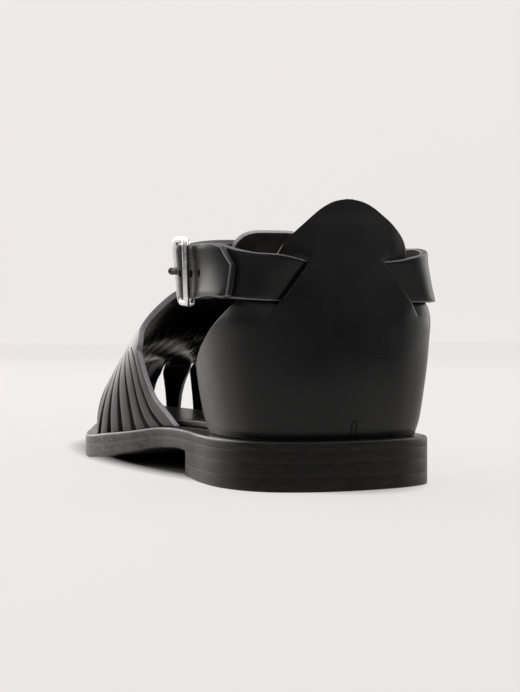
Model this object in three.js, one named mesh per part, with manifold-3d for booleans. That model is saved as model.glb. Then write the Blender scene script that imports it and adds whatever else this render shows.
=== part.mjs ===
// A left fisherman sandal in black leather, standing empty on its sole.
//
// Every length is in millimetres. The shoe is worked out with y from the back of the heel to the toe,
// x to the medial side (the right, on a left shoe) and z up from the floor. The finished group is then
// moved so that the origin lies on the floor under the middle of the heel.

import * as THREE from 'three';
import { mergeVertices } from 'three/addons/utils/BufferGeometryUtils.js';
import Module from 'manifold-3d';

const wasm = await Module();
wasm.setup();

// Driving dimensions.
const SOLE_LENGTH = 260;
const HEEL_CENTRE = 33;
const HEEL_BREAST = 67;
const SOLE_STATIONS = 40;
const LIFT_STATIONS = 22;
const HEEL_LIFT = 4;
const EDGE_ROUNDING = 0.5;
const SEAT_GAP = 0.3;
const INSOLE_THICKNESS = 2;
const VAMP_WALL = 2;
const COUNTER_WALL = 2.2;
const STRAP_WIDTH = 16.4;
const STRAP_THICKNESS = 2.2;
const STRIP_COUNT = 29;
const VAMP_START = 92;

// Edge of the sole seen from above: a row for each station along the foot.
const OUTLINE = [
  { y: 0, lateral: -8, medial: -8 },
  { y: 3, lateral: -21.5, medial: 9.5 },
  { y: 8, lateral: -27.3, medial: 21.5 },
  { y: 16, lateral: -31.2, medial: 30.6 },
  { y: 28, lateral: -33.4, medial: 33.8 },
  { y: 45, lateral: -33.1, medial: 34.4 },
  { y: 66, lateral: -30.6, medial: 32.6 },
  { y: 85, lateral: -29.4, medial: 31 },
  { y: 102, lateral: -30.8, medial: 30.8 },
  { y: 120, lateral: -35.2, medial: 33.4 },
  { y: 140, lateral: -39.4, medial: 39.8 },
  { y: 157, lateral: -40.4, medial: 45.4 },
  { y: 175, lateral: -36.4, medial: 48.2 },
  { y: 195, lateral: -30, medial: 46.8 },
  { y: 215, lateral: -22.6, medial: 40.8 },
  { y: 235, lateral: -12.5, medial: 30.5 },
  { y: 250, lateral: -1.5, medial: 20 },
  { y: 257, lateral: 4.5, medial: 14.5 },
  { y: 260, lateral: 9.5, medial: 9.5 },
];

// Side view of the sole: height of its underside, its two layers, and the rim left outside the upper.
const SIDE_VIEW = [
  { y: 0, underside: 8.2, outsole: 3.2, midsole: 3.2, rim: 4.4 },
  { y: 70, underside: 8, outsole: 3.3, midsole: 3.3, rim: 4.4 },
  { y: 100, underside: 6.7, outsole: 3.7, midsole: 3.4, rim: 2.4 },
  { y: 120, underside: 4.1, outsole: 4, midsole: 3.4, rim: 3 },
  { y: 140, underside: 1.9, outsole: 4.2, midsole: 3.5, rim: 3.8 },
  { y: 158, underside: 0, outsole: 4.5, midsole: 3.7, rim: 4 },
  { y: 192, underside: 0, outsole: 4.5, midsole: 3.7, rim: 4 },
  { y: 230, underside: 2, outsole: 4.5, midsole: 3.7, rim: 4 },
  { y: 260, underside: 4.6, outsole: 4.4, midsole: 3.6, rim: 4 },
];

// Last under the vamp: height of its ridge above the sole, the ridge's place across the foot, and how
// full its shoulders are.
const LAST = [
  { y: 90, instep: 74, ridge: 11, fullness: 2.25 },
  { y: 96, instep: 62.8, ridge: 10.5, fullness: 2.25 },
  { y: 101, instep: 55.2, ridge: 10, fullness: 2.25 },
  { y: 105, instep: 51.6, ridge: 9.5, fullness: 2.25 },
  { y: 110, instep: 49.8, ridge: 8.8, fullness: 2.25 },
  { y: 118, instep: 49.8, ridge: 7.6, fullness: 2.5 },
  { y: 128, instep: 50.9, ridge: 6.5, fullness: 2.75 },
  { y: 145, instep: 43.5, ridge: 5.5, fullness: 2.4 },
  { y: 158, instep: 37, ridge: 5.5, fullness: 2.2 },
  { y: 170, instep: 33, ridge: 6, fullness: 2.25 },
  { y: 188, instep: 28.8, ridge: 7.5, fullness: 2.25 },
  { y: 208, instep: 25.5, ridge: 8.5, fullness: 2.25 },
  { y: 228, instep: 23, ridge: 9.5, fullness: 2.25 },
  { y: 260, instep: 20, ridge: 9.5, fullness: 2.25 },
];
const TOE_ROUNDING_START = 226;

// Where each rib of the vamp ends, from the rear strip (share 0) to the toe's middle (share 1): the line
// on which the slits stop, then the throat and tongue. Out is a part of the half width from the ridge.
const RIB_ENDS = [
  { share: 0, slitOut: 0.93, slitY: 126, throatOut: 0.915, throatY: 126.3 },
  { share: 0.1, slitOut: 0.89, slitY: 136, throatOut: 0.84, throatY: 131 },
  { share: 0.25, slitOut: 0.81, slitY: 141.5, throatOut: 0.74, throatY: 132.4 },
  { share: 0.5, slitOut: 0.65, slitY: 147.5, throatOut: 0.6, throatY: 128.5 },
  { share: 0.7, slitOut: 0.43, slitY: 151.5, throatOut: 0.47, throatY: 114 },
  { share: 0.84, slitOut: 0.24, slitY: 154, throatOut: 0.43, throatY: 100 },
  { share: 0.93, slitOut: 0.11, slitY: 155, throatOut: 0.34, throatY: 96 },
  { share: 1, slitOut: 0, slitY: 155.3, throatOut: 0, throatY: 94.9 },
];

// Smooth value of one column of a table, by cubic pieces through its rows.
function column(rows, key, name, at) {
  let i = 0;
  while (i < rows.length - 2 && at > rows[i + 1][key]) {
    i += 1;
  }
  const slope = (j) => {
    const before = rows[Math.max(j - 1, 0)];
    const after = rows[Math.min(j + 1, rows.length - 1)];
    return (after[name] - before[name]) / (after[key] - before[key]);
  };
  const from = rows[i];
  const to = rows[i + 1];
  const span = to[key] - from[key];
  const t = THREE.MathUtils.clamp((at - from[key]) / span, 0, 1);
  const rise = t * t * (3 - 2 * t);
  const leaving = t * (1 - t) * (1 - t) * span * slope(i);
  const arriving = -t * t * (1 - t) * span * slope(i + 1);
  return from[name] * (1 - rise) + to[name] * rise + leaving + arriving;
}

// Stations crowd together at the round heel and toe, so the outline is read along this turn.
const turnOf = (y) => Math.acos(THREE.MathUtils.clamp(1 - (2 * y) / SOLE_LENGTH, -1, 1)) / Math.PI;
const stationAt = (turn) => (SOLE_LENGTH * (1 - Math.cos(Math.PI * turn))) / 2;
const OUTLINE_TURNS = OUTLINE.map((row) => ({ ...row, turn: turnOf(row.y) }));
const sideEdge = (side, y) => column(OUTLINE_TURNS, 'turn', side, turnOf(y));
const sideView = (name, y) => column(SIDE_VIEW, 'y', name, y);
const underside = (y) => Math.max(0, sideView('underside', y));
const outsoleTop = (y) => underside(y) + sideView('outsole', y);
const soleTop = (y) => outsoleTop(y) + sideView('midsole', y);

const EDGE_STEP = 0.004;

// Point of the sole's edge on the way round: 0 heel, through the lateral side to 1 toe, then back to 2.
function edgePoint(way, inset) {
  const at = (w) => {
    const turn = w <= 1 ? w : 2 - w;
    const y = stationAt(turn);
    return new THREE.Vector2(sideEdge(w <= 1 ? 'lateral' : 'medial', y), y);
  };
  const wrapped = (w) => at((w + 2) % 2);
  const point = wrapped(way);
  const along = wrapped(way + EDGE_STEP).sub(wrapped(way - EDGE_STEP)).normalize();
  const depth = typeof inset === 'function' ? inset(point.y) : inset;
  return point.add(new THREE.Vector2(along.y, -along.x).multiplyScalar(depth));
}

// Closed body between stacked rings of points. The end rings are filled by rungs from side to side.
function stackedBody(rings) {
  const count = rings[0].length;
  const positions = rings.flat().flatMap((point) => [point.x, point.y, point.z]);
  const triangles = [];
  const quad = (a, b, c, d) => triangles.push(a, b, c, a, c, d);
  for (let r = 0; r + 1 < rings.length; r += 1) {
    for (let i = 0; i < count; i += 1) {
      const next = (i + 1) % count;
      quad(r * count + next, r * count + i, (r + 1) * count + i, (r + 1) * count + next);
    }
  }
  const last = (rings.length - 1) * count;
  for (let i = 0; i < count - 1 - i; i += 1) {
    const [a, b, c, d] = [i, i + 1, count - 1 - i, (count - i) % count];
    const corners = [...new Set([a, b, c, d])];
    for (let k = 1; k + 1 < corners.length; k += 1) {
      triangles.push(corners[0], corners[k], corners[k + 1]);
      triangles.push(last + corners[0], last + corners[k + 1], last + corners[k]);
    }
  }
  return bodyFrom(positions, triangles);
}

function bodyFrom(positions, triangles) {
  const body = new THREE.BufferGeometry();
  body.setAttribute('position', new THREE.Float32BufferAttribute(positions, 3));
  body.setIndex(triangles);
  return body;
}

// One layer of the sole between two heights, with softly rounded edges. A layer that stops short of
// the toe, as a heel lift does, ends in a straight breast.
function soleLayer(bottomAt, topAt, inset, stations, end) {
  const endTurn = turnOf(end);
  const ways = [];
  const whole = end >= SOLE_LENGTH;
  for (let i = 0; i <= stations; i += 1) {
    ways.push((endTurn * i) / stations);
  }
  for (let i = whole ? stations - 1 : stations; i > 0; i -= 1) {
    ways.push(2 - (endTurn * i) / stations);
  }
  const ring = (extra, height) => ways.map((way) => {
    const edge = edgePoint(way, 0);
    const point = edgePoint(way, (y) => (typeof inset === 'function' ? inset(y) : inset) + extra);
    return new THREE.Vector3(point.x, Math.min(point.y, end), height(edge.y));
  });
  return stackedBody([
    ring(EDGE_ROUNDING, bottomAt),
    ring(0, (y) => bottomAt(y) + EDGE_ROUNDING),
    ring(0, (y) => topAt(y) - EDGE_ROUNDING),
    ring(EDGE_ROUNDING, topAt),
  ]);
}

// A sheet is a surface of four-sided cells. Cells that name the same corner share it.
class Sheet {
  constructor() {
    this.corners = new Map();
    this.points = [];
    this.cells = [];
  }

  corner(name, place) {
    if (!this.corners.has(name)) {
      this.corners.set(name, this.points.length);
      this.points.push(place());
    }
    return this.corners.get(name);
  }

  cell(a, b, c, d) {
    this.cells.push([a, b, c, d]);
  }

  normals() {
    const sums = this.points.map(() => new THREE.Vector3());
    for (const [a, b, c, d] of this.cells) {
      const across = this.points[c].clone().sub(this.points[a]);
      const facing = across.cross(this.points[d].clone().sub(this.points[b]));
      [a, b, c, d].forEach((corner) => sums[corner].add(facing));
    }
    return sums.map((sum) => sum.normalize());
  }
}

// Leather cut from a sheet: the sheet grown outwards and inwards, with its cut edges closed.
function leather(sheet, outwards, inwards, adjust = (normal) => normal) {
  const normals = sheet.normals().map((normal, i) => adjust(normal, sheet.points[i]));
  const count = sheet.points.length;
  const grown = (by) => sheet.points.map((point, i) => point.clone().addScaledVector(normals[i], by));
  const positions = [...grown(outwards), ...grown(-inwards)].flatMap((p) => [p.x, p.y, p.z]);
  const triangles = [];
  const quad = (a, b, c, d) => triangles.push(a, b, c, a, c, d);
  const edges = new Map();
  for (const [a, b, c, d] of sheet.cells) {
    quad(a, b, c, d);
    quad(count + d, count + c, count + b, count + a);
    for (const [from, to] of [[a, b], [b, c], [c, d], [d, a]]) {
      const back = `${to} ${from}`;
      if (edges.has(back)) {
        edges.delete(back);
      } else {
        edges.set(`${from} ${to}`, [from, to]);
      }
    }
  }
  for (const [from, to] of edges.values()) {
    quad(count + from, count + to, to, from);
  }
  return bodyFrom(positions, triangles);
}

// The last: height of its surface over a point of the plan, and a point at an angle down from its ridge.
const featherInset = (y) => sideView('rim', y) + VAMP_WALL;
const featherWay = (share) => turnOf(VAMP_START) + share * (2 - 2 * turnOf(VAMP_START));
const TOE_END = edgePoint(1, featherInset).y;
const lastValue = (name, y) => column(LAST, 'y', name, y);

// Half width of the last from its ridge to the feather line, on either side, read by depth behind the toe.
const depthOf = (y) => Math.sqrt(Math.max(0, TOE_END - y));
const FEATHER_ROWS = 60;
const REAR_WAY = 0.2;
const featherRows = { lateral: [], medial: [] };
for (let i = 0; i <= FEATHER_ROWS; i += 1) {
  const way = 1 - ((1 - REAR_WAY) * i) / FEATHER_ROWS;
  const lateral = edgePoint(way, featherInset);
  const medial = edgePoint(2 - way, featherInset);
  for (const [side, point] of Object.entries({ lateral, medial })) {
    const rows = featherRows[side];
    const depth = depthOf(point.y);
    if (i === 0 || depth > rows[rows.length - 1].depth + 0.05) {
      rows.push({ x: point.x, depth });
    }
  }
}

// The tongue stands free of the sole. It is flatter across than the last below it, and nearly as wide to
// the medial side as to the lateral one. Free is 1 for leather that leads to the tongue and 0 for strips.
const TONGUE = { from: 100, to: 125, widening: 0.6, flatness: 0.75 };
const onTongue = (y) => 1 - THREE.MathUtils.smoothstep(y, TONGUE.from, TONGUE.to);
function halfWidth(side, y, free) {
  const width = Math.abs(column(featherRows[side], 'depth', 'x', depthOf(y)) - lastValue('ridge', y));
  return side === 'medial' ? width * (1 + TONGUE.widening * free * onTongue(y)) : width;
}

function instepRise(y) {
  const past = Math.max(0, (y - TOE_ROUNDING_START) / (TOE_END - TOE_ROUNDING_START));
  return lastValue('instep', y) * Math.sqrt(Math.max(0, 1 - past * past));
}

function lastHeight(x, y, free) {
  const ridge = lastValue('ridge', y);
  const half = Math.max(0.01, halfWidth(x < ridge ? 'lateral' : 'medial', y, free));
  const across = Math.min(1, Math.abs(x - ridge) / half);
  const fullness = lastValue('fullness', y) + TONGUE.flatness * free * onTongue(y);
  return soleTop(y) + instepRise(y) * (1 - across ** fullness) ** (1 / fullness);
}

// Feather line of the vamp, from the lateral rear strip round the toe to the medial one, by its length.
const FEATHER_STEPS = 240;
const feather = [];
for (let i = 0; i <= FEATHER_STEPS; i += 1) {
  const point = edgePoint(featherWay(i / FEATHER_STEPS), featherInset);
  const run = i === 0 ? 0 : feather[i - 1].run + point.distanceTo(feather[i - 1].point);
  feather.push({ point, run });
}
function featherAt(share) {
  const run = share * feather[FEATHER_STEPS].run;
  const after = Math.max(1, feather.findIndex((row) => row.run >= run - 1e-6));
  const [from, to] = [feather[after - 1], feather[after]];
  return from.point.clone().lerp(to.point, (run - from.run) / (to.run - from.run));
}

// A rib of the vamp: rise 0 at the sole, 1 where the slits stop, 2 at the throat or the tongue's edge.
const RIB_FORWARD = 0.74;
const TOE_RIB_FORWARD = 1.5;
const RIB_ROUNDNESS = 2.25;
const STRAIGHT_FROM = 150;
const STRAIGHT_TO = 215;
function ribPoint(share, rise) {
  const side = share < 0.5 ? 'lateral' : 'medial';
  const sign = share < 0.5 ? -1 : 1;
  const nearToe = 1 - Math.abs(2 * share - 1);
  const end = (name) => Math.max(0, column(RIB_ENDS, 'share', name, nearToe));
  const free = rise >= 1 ? 1 : 0;
  const across = (out, y) => lastValue('ridge', y) + sign * out * halfWidth(side, y, free);
  const place = (out, y) => new THREE.Vector2(across(out, y), y);
  const slitEnd = place(end('slitOut'), end('slitY'));
  let plan;
  if (rise >= 1) {
    plan = slitEnd.clone().lerp(place(end('throatOut'), end('throatY')), rise - 1);
  } else {
    const foot = featherAt(share);
    const straightness = THREE.MathUtils.smoothstep(foot.y, STRAIGHT_FROM, STRAIGHT_TO);
    const along = rise ** THREE.MathUtils.lerp(RIB_FORWARD, TOE_RIB_FORWARD, straightness);
    const y = foot.y + (slitEnd.y - foot.y) * along;
    const endAngle = Math.asin(end('slitOut') ** (RIB_ROUNDNESS / 2));
    const angle = Math.PI / 2 + (endAngle - Math.PI / 2) * rise;
    const hugging = across(Math.sin(angle) ** (2 / RIB_ROUNDNESS), y);
    const straight = foot.x + (slitEnd.x - foot.x) * along;
    plan = new THREE.Vector2(THREE.MathUtils.lerp(hugging, straight, straightness), y);
  }
  const lift = rise === 0 ? 0 : lastHeight(plan.x, plan.y, free) - soleTop(plan.y);
  return new THREE.Vector3(plan.x, plan.y, soleTop(plan.y) + SEAT_GAP + lift);
}

// Strips spread wider round the toe than along the sides, and their gaps with them.
const TOE_SPREAD = 0.17;
const STRIP_FILL = 0.64;
const TOE_GAP = 0.26;
const TOE_SHARPNESS = 4;
const SLIT_END_FILL = 0.88;
const TOE_END_FILL = 0.95;
const WEDGE_RISE = 0.62;
const TOE_WEDGE_DROP = 0.46;
const STRIP_RISES = [0, 0.08, 0.17, 0.32, 0.5, 0.67, 0.84, 1];
const PANEL_RISES = [1, 1.3, 1.58, 1.77, 1.9, 2];
const spread = (even) => even - (TOE_SPREAD * Math.sin(2 * Math.PI * even)) / (2 * Math.PI);
function stripShare(strip, across, rise) {
  const even = (strip + 0.5) / STRIP_COUNT;
  const atToe = Math.sin(Math.PI * even) ** TOE_SHARPNESS;
  const baseFill = STRIP_FILL - TOE_GAP * atToe;
  const wedge = WEDGE_RISE - TOE_WEDGE_DROP * atToe;
  const endFill = THREE.MathUtils.lerp(SLIT_END_FILL, TOE_END_FILL, atToe);
  const fill = THREE.MathUtils.lerp(baseFill, endFill, Math.min(1, rise / wedge));
  const first = strip === 0 && across < 0.5;
  const final = strip === STRIP_COUNT - 1 && across > 0.5;
  if (first) {
    return 0;
  }
  return final ? 1 : spread((strip + 0.5 + (across - 0.5) * fill) / STRIP_COUNT);
}

function vampSheet() {
  const sheet = new Sheet();
  const corner = (strip, across, rise) =>
    sheet.corner(`${strip} ${across} ${rise}`, () => ribPoint(stripShare(strip, across, rise), rise));
  const cells = (rises, from, to) => {
    for (let r = 0; r + 1 < rises.length; r += 1) {
      sheet.cell(corner(...from, rises[r]), corner(...from, rises[r + 1]),
        corner(...to, rises[r + 1]), corner(...to, rises[r]));
    }
  };
  for (let strip = 0; strip < STRIP_COUNT; strip += 1) {
    for (const rises of [STRIP_RISES, PANEL_RISES]) {
      cells(rises, [strip, 0], [strip, 0.5]);
      cells(rises, [strip, 0.5], [strip, 1]);
    }
    if (strip > 0) {
      cells(PANEL_RISES, [strip - 1, 1], [strip, 0]);
    }
  }
  return sheet;
}

// Heel cup: the sole's own heel curve, set in by the rim and flared with height. Reach is the counter's
// half width round the heel, and tilt moves the middle of its tab to the medial side.
const COUNTER = [
  { z: 14.9, reach: 61, tilt: 0, side: -0.6, back: -0.6 },
  { z: 20, reach: 62, tilt: 0, side: 1, back: 0.8 },
  { z: 30, reach: 63, tilt: 0, side: 2.7, back: 1.6 },
  { z: 37, reach: 61, tilt: 0, side: 3.7, back: 1.6 },
  { z: 44, reach: 49, tilt: 0, side: 4.4, back: 1.2 },
  { z: 50, reach: 38, tilt: 0, side: 4.8, back: 0.6 },
  { z: 55, reach: 31.5, tilt: 0, side: 3.6, back: -0.1 },
  { z: 60, reach: 27, tilt: 0.4, side: 1.8, back: -0.8 },
  { z: 66, reach: 24, tilt: 1.4, side: 0.6, back: -1.8 },
  { z: 70, reach: 22.8, tilt: 2.6, side: 0.5, back: -2.6 },
  { z: 74, reach: 20.4, tilt: 3.8, side: 0.6, back: -3.4 },
  { z: 78, reach: 15.8, tilt: 4.5, side: 0.2, back: -4.2 },
  { z: 81, reach: 11.4, tilt: 4.7, side: 0, back: -5 },
  { z: 83, reach: 8, tilt: 4.8, side: 0, back: -5.4 },
  { z: 84.6, reach: 4.4, tilt: 4.8, side: 0, back: -5.7 },
  { z: 85.3, reach: 1, tilt: 4.8, side: 0, back: -5.8 },
];
const BACK_SEAM_OFFSET = 7.5;
const HEEL_STEPS = 70;
const HEEL_WAY = 0.5;
const heelRows = [];
for (let i = -HEEL_STEPS; i <= HEEL_STEPS; i += 1) {
  const way = (HEEL_WAY * i) / HEEL_STEPS;
  const point = edgePoint((way + 2) % 2, (y) => sideView('rim', y));
  const before = heelRows[heelRows.length - 1];
  heelRows.push({ point, run: before ? before.run - point.distanceTo(before.point) : 0 });
}
const backRun = heelRows[HEEL_STEPS].run + BACK_SEAM_OFFSET;
heelRows.reverse();
const HEEL_CURVE = heelRows.map(({ point, run }) => ({ run: run - backRun, x: point.x, y: point.y }));
const heelCurve = (name, run) => column(HEEL_CURVE, 'run', name, run);
const counterValue = (name, z) => column(COUNTER, 'z', name, z);

// Point of the heel cup at a length round from the back (lateral below zero) and a height, set outwards.
function heelPoint(round, z, outwards) {
  const at = (run) => new THREE.Vector2(heelCurve('x', run), heelCurve('y', run));
  const along = at(round + 0.5).sub(at(round - 0.5)).normalize();
  const facing = new THREE.Vector2(along.y, -along.x);
  const flare = counterValue('side', z) * facing.x ** 2 + counterValue('back', z) * facing.y ** 2;
  const plan = at(round).addScaledVector(facing, flare + outwards);
  return new THREE.Vector3(plan.x, plan.y, z);
}

// The two slanted slits. Ahead of each, the wing's lip is pushed in, so that the strap can pass over it
// to the inside of the counter's middle.
const SLIT_TOP = { round: 10.3, z: 70.4 };
const SLIT_FOOT = { round: 25.7, z: 49.4 };
const SLIT_SHIFT = 2.2;
const LIP_PUSH = COUNTER_WALL / 2 + STRAP_THICKNESS / 2 + 3.8 * SEAT_GAP;
const LIP_LENGTH = 17;
const SLIT_END_TAPER = 0.12;
function slitPlace(round, z) {
  const run = new THREE.Vector2(SLIT_FOOT.round - SLIT_TOP.round, SLIT_FOOT.z - SLIT_TOP.z);
  const from = new THREE.Vector2(Math.abs(round - SLIT_SHIFT) - SLIT_TOP.round, z - SLIT_TOP.z);
  return {
    ahead: (from.x * -run.y + from.y * run.x) / run.length(),
    share: from.dot(run) / run.lengthSq(),
  };
}
function lipPush(round, z) {
  const { ahead, share } = slitPlace(round, z);
  const fade = Math.max(0, 1 - Math.abs(ahead) / LIP_LENGTH) ** 2;
  const ends = THREE.MathUtils.smoothstep(share, 0, SLIT_END_TAPER)
    * (1 - THREE.MathUtils.smoothstep(share, 1 - SLIT_END_TAPER, 1));
  return -2 * LIP_PUSH * fade * ends;
}

const COUNTER_HEIGHTS = [
  14.9, 17, 21, 26, 31, 36, 40, 44, 47, SLIT_FOOT.z, 51.4, 53.4, 55.4, 57.4, 60, 63, 66, 68.8, SLIT_TOP.z,
  73.2, 75.2, 77.5, 80, 82, 83.6, 84.7, 85.3,
];
const CENTRE_COLUMNS = 12;
const WING_COLUMNS = 5;
const WING_CROWDING = 1.4;
const WING_SIGNS = { lateral: -1, medial: 1 };
function counterSheet() {
  const sheet = new Sheet();
  const edge = (wing, z) => counterValue('tilt', z) + WING_SIGNS[wing] * counterValue('reach', z);
  const slit = (wing, z) => {
    const level = THREE.MathUtils.clamp(z, SLIT_FOOT.z, SLIT_TOP.z);
    const down = (SLIT_TOP.z - level) / (SLIT_TOP.z - SLIT_FOOT.z);
    const aside = THREE.MathUtils.lerp(SLIT_TOP.round, SLIT_FOOT.round, down);
    const round = SLIT_SHIFT + WING_SIGNS[wing] * aside;
    const narrowing = counterValue('reach', z) / counterValue('reach', level);
    return counterValue('tilt', z) + (round - counterValue('tilt', level)) * narrowing;
  };
  const place = (round, z, onWing) => heelPoint(round, z, onWing ? lipPush(round, z) : 0);
  const onSlit = (wing, z, onWing) => {
    const open = z > SLIT_FOOT.z && z < SLIT_TOP.z;
    return sheet.corner(`${wing} slit ${z} ${open && onWing}`, () => place(slit(wing, z), z, onWing));
  };
  const centre = (i, z) => {
    if (i === 0 || i === CENTRE_COLUMNS) {
      return onSlit(i === 0 ? 'lateral' : 'medial', z, false);
    }
    const round = THREE.MathUtils.lerp(slit('lateral', z), slit('medial', z), i / CENTRE_COLUMNS);
    return sheet.corner(`centre ${i} ${z}`, () => place(round, z, false));
  };
  const wing = (name) => (i, z) => {
    if (i === 0) {
      return onSlit(name, z, true);
    }
    const round = THREE.MathUtils.lerp(slit(name, z), edge(name, z), (i / WING_COLUMNS) ** WING_CROWDING);
    return sheet.corner(`${name} ${i} ${z}`, () => place(round, z, true));
  };
  const cells = (corner, from, to) => {
    for (let r = 0; r + 1 < COUNTER_HEIGHTS.length; r += 1) {
      const [low, high] = [COUNTER_HEIGHTS[r], COUNTER_HEIGHTS[r + 1]];
      sheet.cell(corner(from, low), corner(to, low), corner(to, high), corner(from, high));
    }
  };
  for (let i = 0; i < CENTRE_COLUMNS; i += 1) {
    cells(centre, i, i + 1);
  }
  for (let i = 0; i < WING_COLUMNS; i += 1) {
    cells(wing('lateral'), i + 1, i);
    cells(wing('medial'), i, i + 1);
  }
  return sheet;
}

// Ankle strap, seen as one long ribbon: a row for each station of its height and width along the foot.
const STRAP = [
  { y: 3, middle: 60.4, width: 12.4 },
  { y: 12, middle: 61.2, width: 13 },
  { y: 20, middle: 64, width: 15.2 },
  { y: 28, middle: 65, width: 16.2 },
  { y: 40, middle: 65.4, width: STRAP_WIDTH },
  { y: 75, middle: 66.6, width: STRAP_WIDTH },
  { y: 101, middle: 67.8, width: STRAP_WIDTH },
];
const LOOP_FRONT_Y = 111;
const LOOP_FRONT_Z = 71.2;
const LOOP_HALF_WIDTH = 33.8;
const LOOP_MIDDLE_X = 0.8;
const LOOP_FRONT_SHIFT = 12;
const LEAN = { lateral: -0.1, medial: 0.16 };
const FRONT_TILT = 0.93;
const FRONT_SQUARENESS = 0.8;
const STRAP_LEVEL = 60;
const leanOn = (side) => (side < 0 ? LEAN.lateral : LEAN.medial);
const CLIMB_FROM = 0.15;
const CLIMB_TO = 0.85;
const BULGE_FROM = 22;
const BULGE_TO = 66;

// Ahead of the lateral slit the strap is a little higher and wider, under the pull of the buckle. It sags
// past the medial one, and a little at the buckle.
const PULL = { from: 8, full: 22, fading: 27, to: 36, lift: 1.5, widening: 1 };
function pull(round) {
  const rising = THREE.MathUtils.smoothstep(-round, PULL.from, PULL.full);
  return rising * (1 - THREE.MathUtils.smoothstep(-round, PULL.fading, PULL.to));
}
const SAG = {
  medial: { from: 24, to: 36, drop: 1.5 },
  lateral: { from: 36, to: 50, drop: 1 },
};
function sag(round) {
  const { from, to, drop } = round < 0 ? SAG.lateral : SAG.medial;
  return drop * THREE.MathUtils.smoothstep(Math.abs(round), from, to);
}

// Point of the strap where it runs round the heel: outside the wings, inside the middle of the counter.
function strapRound(round, high, outwards) {
  const y = heelPoint(round, STRAP_LEVEL, 0).y;
  const middle = column(STRAP, 'y', 'middle', y) + PULL.lift * pull(round) - sag(round);
  const z = middle + high * (column(STRAP, 'y', 'width', y) + PULL.widening * pull(round));
  const onWing = slitPlace(round, z).ahead > 0;
  const side = onWing ? LIP_PUSH + lipPush(round, z) : -LIP_PUSH;
  const swing = THREE.MathUtils.smoothstep(Math.abs(round), BULGE_FROM, BULGE_TO);
  const cupSide = heelPoint(Math.sign(round) * BULGE_TO, z, LIP_PUSH).x;
  const reach = LOOP_HALF_WIDTH - Math.abs(cupSide - LOOP_MIDDLE_X);
  const lean = -high * STRAP_WIDTH * leanOn(round);
  return heelPoint(round, z, side + swing * (reach + lean) + outwards);
}

// Point of the strap where it crosses the instep, from either side (turn 0) to the front (turn 1). It
// climbs there and tilts back, to lie on the slope of the tongue.
function strapFront(sign, turn, high, outwards) {
  const side = strapRound(sign * BULGE_TO, 0, 0);
  const [cos, sin] = [Math.cos((turn * Math.PI) / 2), Math.sin((turn * Math.PI) / 2)];
  const climb = THREE.MathUtils.smoothstep(turn, CLIMB_FROM, CLIMB_TO);
  const tilt = THREE.MathUtils.lerp(leanOn(sign), FRONT_TILT, climb);
  const front = new THREE.Vector2(LOOP_MIDDLE_X + LOOP_FRONT_SHIFT, LOOP_FRONT_Y);
  const radii = new THREE.Vector2(side.x - front.x, front.y - side.y);
  const facing = new THREE.Vector2(cos / radii.x, sin / radii.y).normalize();
  const squareness = sign > 0 ? FRONT_SQUARENESS : 1;
  const [across, ahead] = [cos, sin].map((share) => Math.max(0, share) ** squareness);
  const plan = new THREE.Vector2(front.x + radii.x * across, side.y + radii.y * ahead);
  plan.addScaledVector(facing, outwards - high * STRAP_WIDTH * Math.sin(tilt));
  const middle = THREE.MathUtils.lerp(side.z, LOOP_FRONT_Z, climb);
  return new THREE.Vector3(plan.x, plan.y, middle + high * STRAP_WIDTH * Math.cos(tilt));
}

// Buckle bars on the lateral side, by their place round the strap, and how far the strap's free end is
// raised over the folded end there.
const BAR_RADIUS = 1;
const CENTRE_BAR = { round: -59, out: 2.4 };
const REAR_BAR = { round: -51.5, out: 5.2 };
const FRONT_BAR = { round: -67, out: 4.4 };
const TAIL_RAISE = [
  { round: -70, raise: 1.2 },
  { round: -67, raise: 1.8 },
  { round: -63, raise: 3.6 },
  { round: -59, raise: 4.8 },
  { round: -55, raise: 3.7 },
  { round: -51.5, raise: 2.7 },
  { round: -47, raise: 2.5 },
  { round: -26, raise: 2.5 },
];
const FOLDED_END = -62.5;
const TAIL_TIP = -30;
const TIP_LENGTH = 4.6;
const TIP_CUT = 0.34;
const TIP_CURVE = 0.06;
const TIP_SQUARENESS = 4;
const TAIL_CLIMB_END = 0.4;
const STRAP_HIGHS = [-0.5, 0, 0.5];
const STRAP_STEPS = { round: 56, front: 12, tail: 18, tip: 6 };

function strapSheet() {
  const stations = [];
  const evenly = (from, to, steps, place) => {
    for (let i = 0; i < steps; i += 1) {
      const value = from + ((to - from) * i) / steps;
      stations.push((high) => place(value, high));
    }
  };
  const tailRaise = (round) => column(TAIL_RAISE, 'round', 'raise', round);
  evenly(FOLDED_END, BULGE_TO, STRAP_STEPS.round, (round, high) => strapRound(round, high, 0));
  evenly(0, 1, STRAP_STEPS.front, (turn, high) => strapFront(1, turn, high, 0));
  const climb = (turn) => TAIL_RAISE[0].raise * (1 - THREE.MathUtils.smoothstep(turn, 0, TAIL_CLIMB_END));
  evenly(1, 0, STRAP_STEPS.front, (turn, high) => strapFront(-1, turn, high, climb(turn)));
  const onTail = (round, high) => strapRound(round, high, tailRaise(round));
  evenly(-BULGE_TO, TAIL_TIP - TIP_LENGTH, STRAP_STEPS.tail, onTail);
  evenly(0, 1, STRAP_STEPS.tip, (share, high) => {
    const round = TAIL_TIP - TIP_LENGTH * (1 - share);
    const [low, top] = [-0.5 + TIP_CURVE * share ** TIP_SQUARENESS, 0.5 - TIP_CUT * share];
    return onTail(round, THREE.MathUtils.lerp(low, top, high + 0.5));
  });
  const sheet = new Sheet();
  const corner = (i, k) => sheet.corner(`${i} ${k}`, () => stations[i](STRAP_HIGHS[k]));
  for (let i = 0; i + 1 < stations.length; i += 1) {
    for (let k = 0; k + 1 < STRAP_HIGHS.length; k += 1) {
      sheet.cell(corner(i, k), corner(i + 1, k), corner(i + 1, k + 1), corner(i, k + 1));
    }
  }
  return sheet;
}

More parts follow.
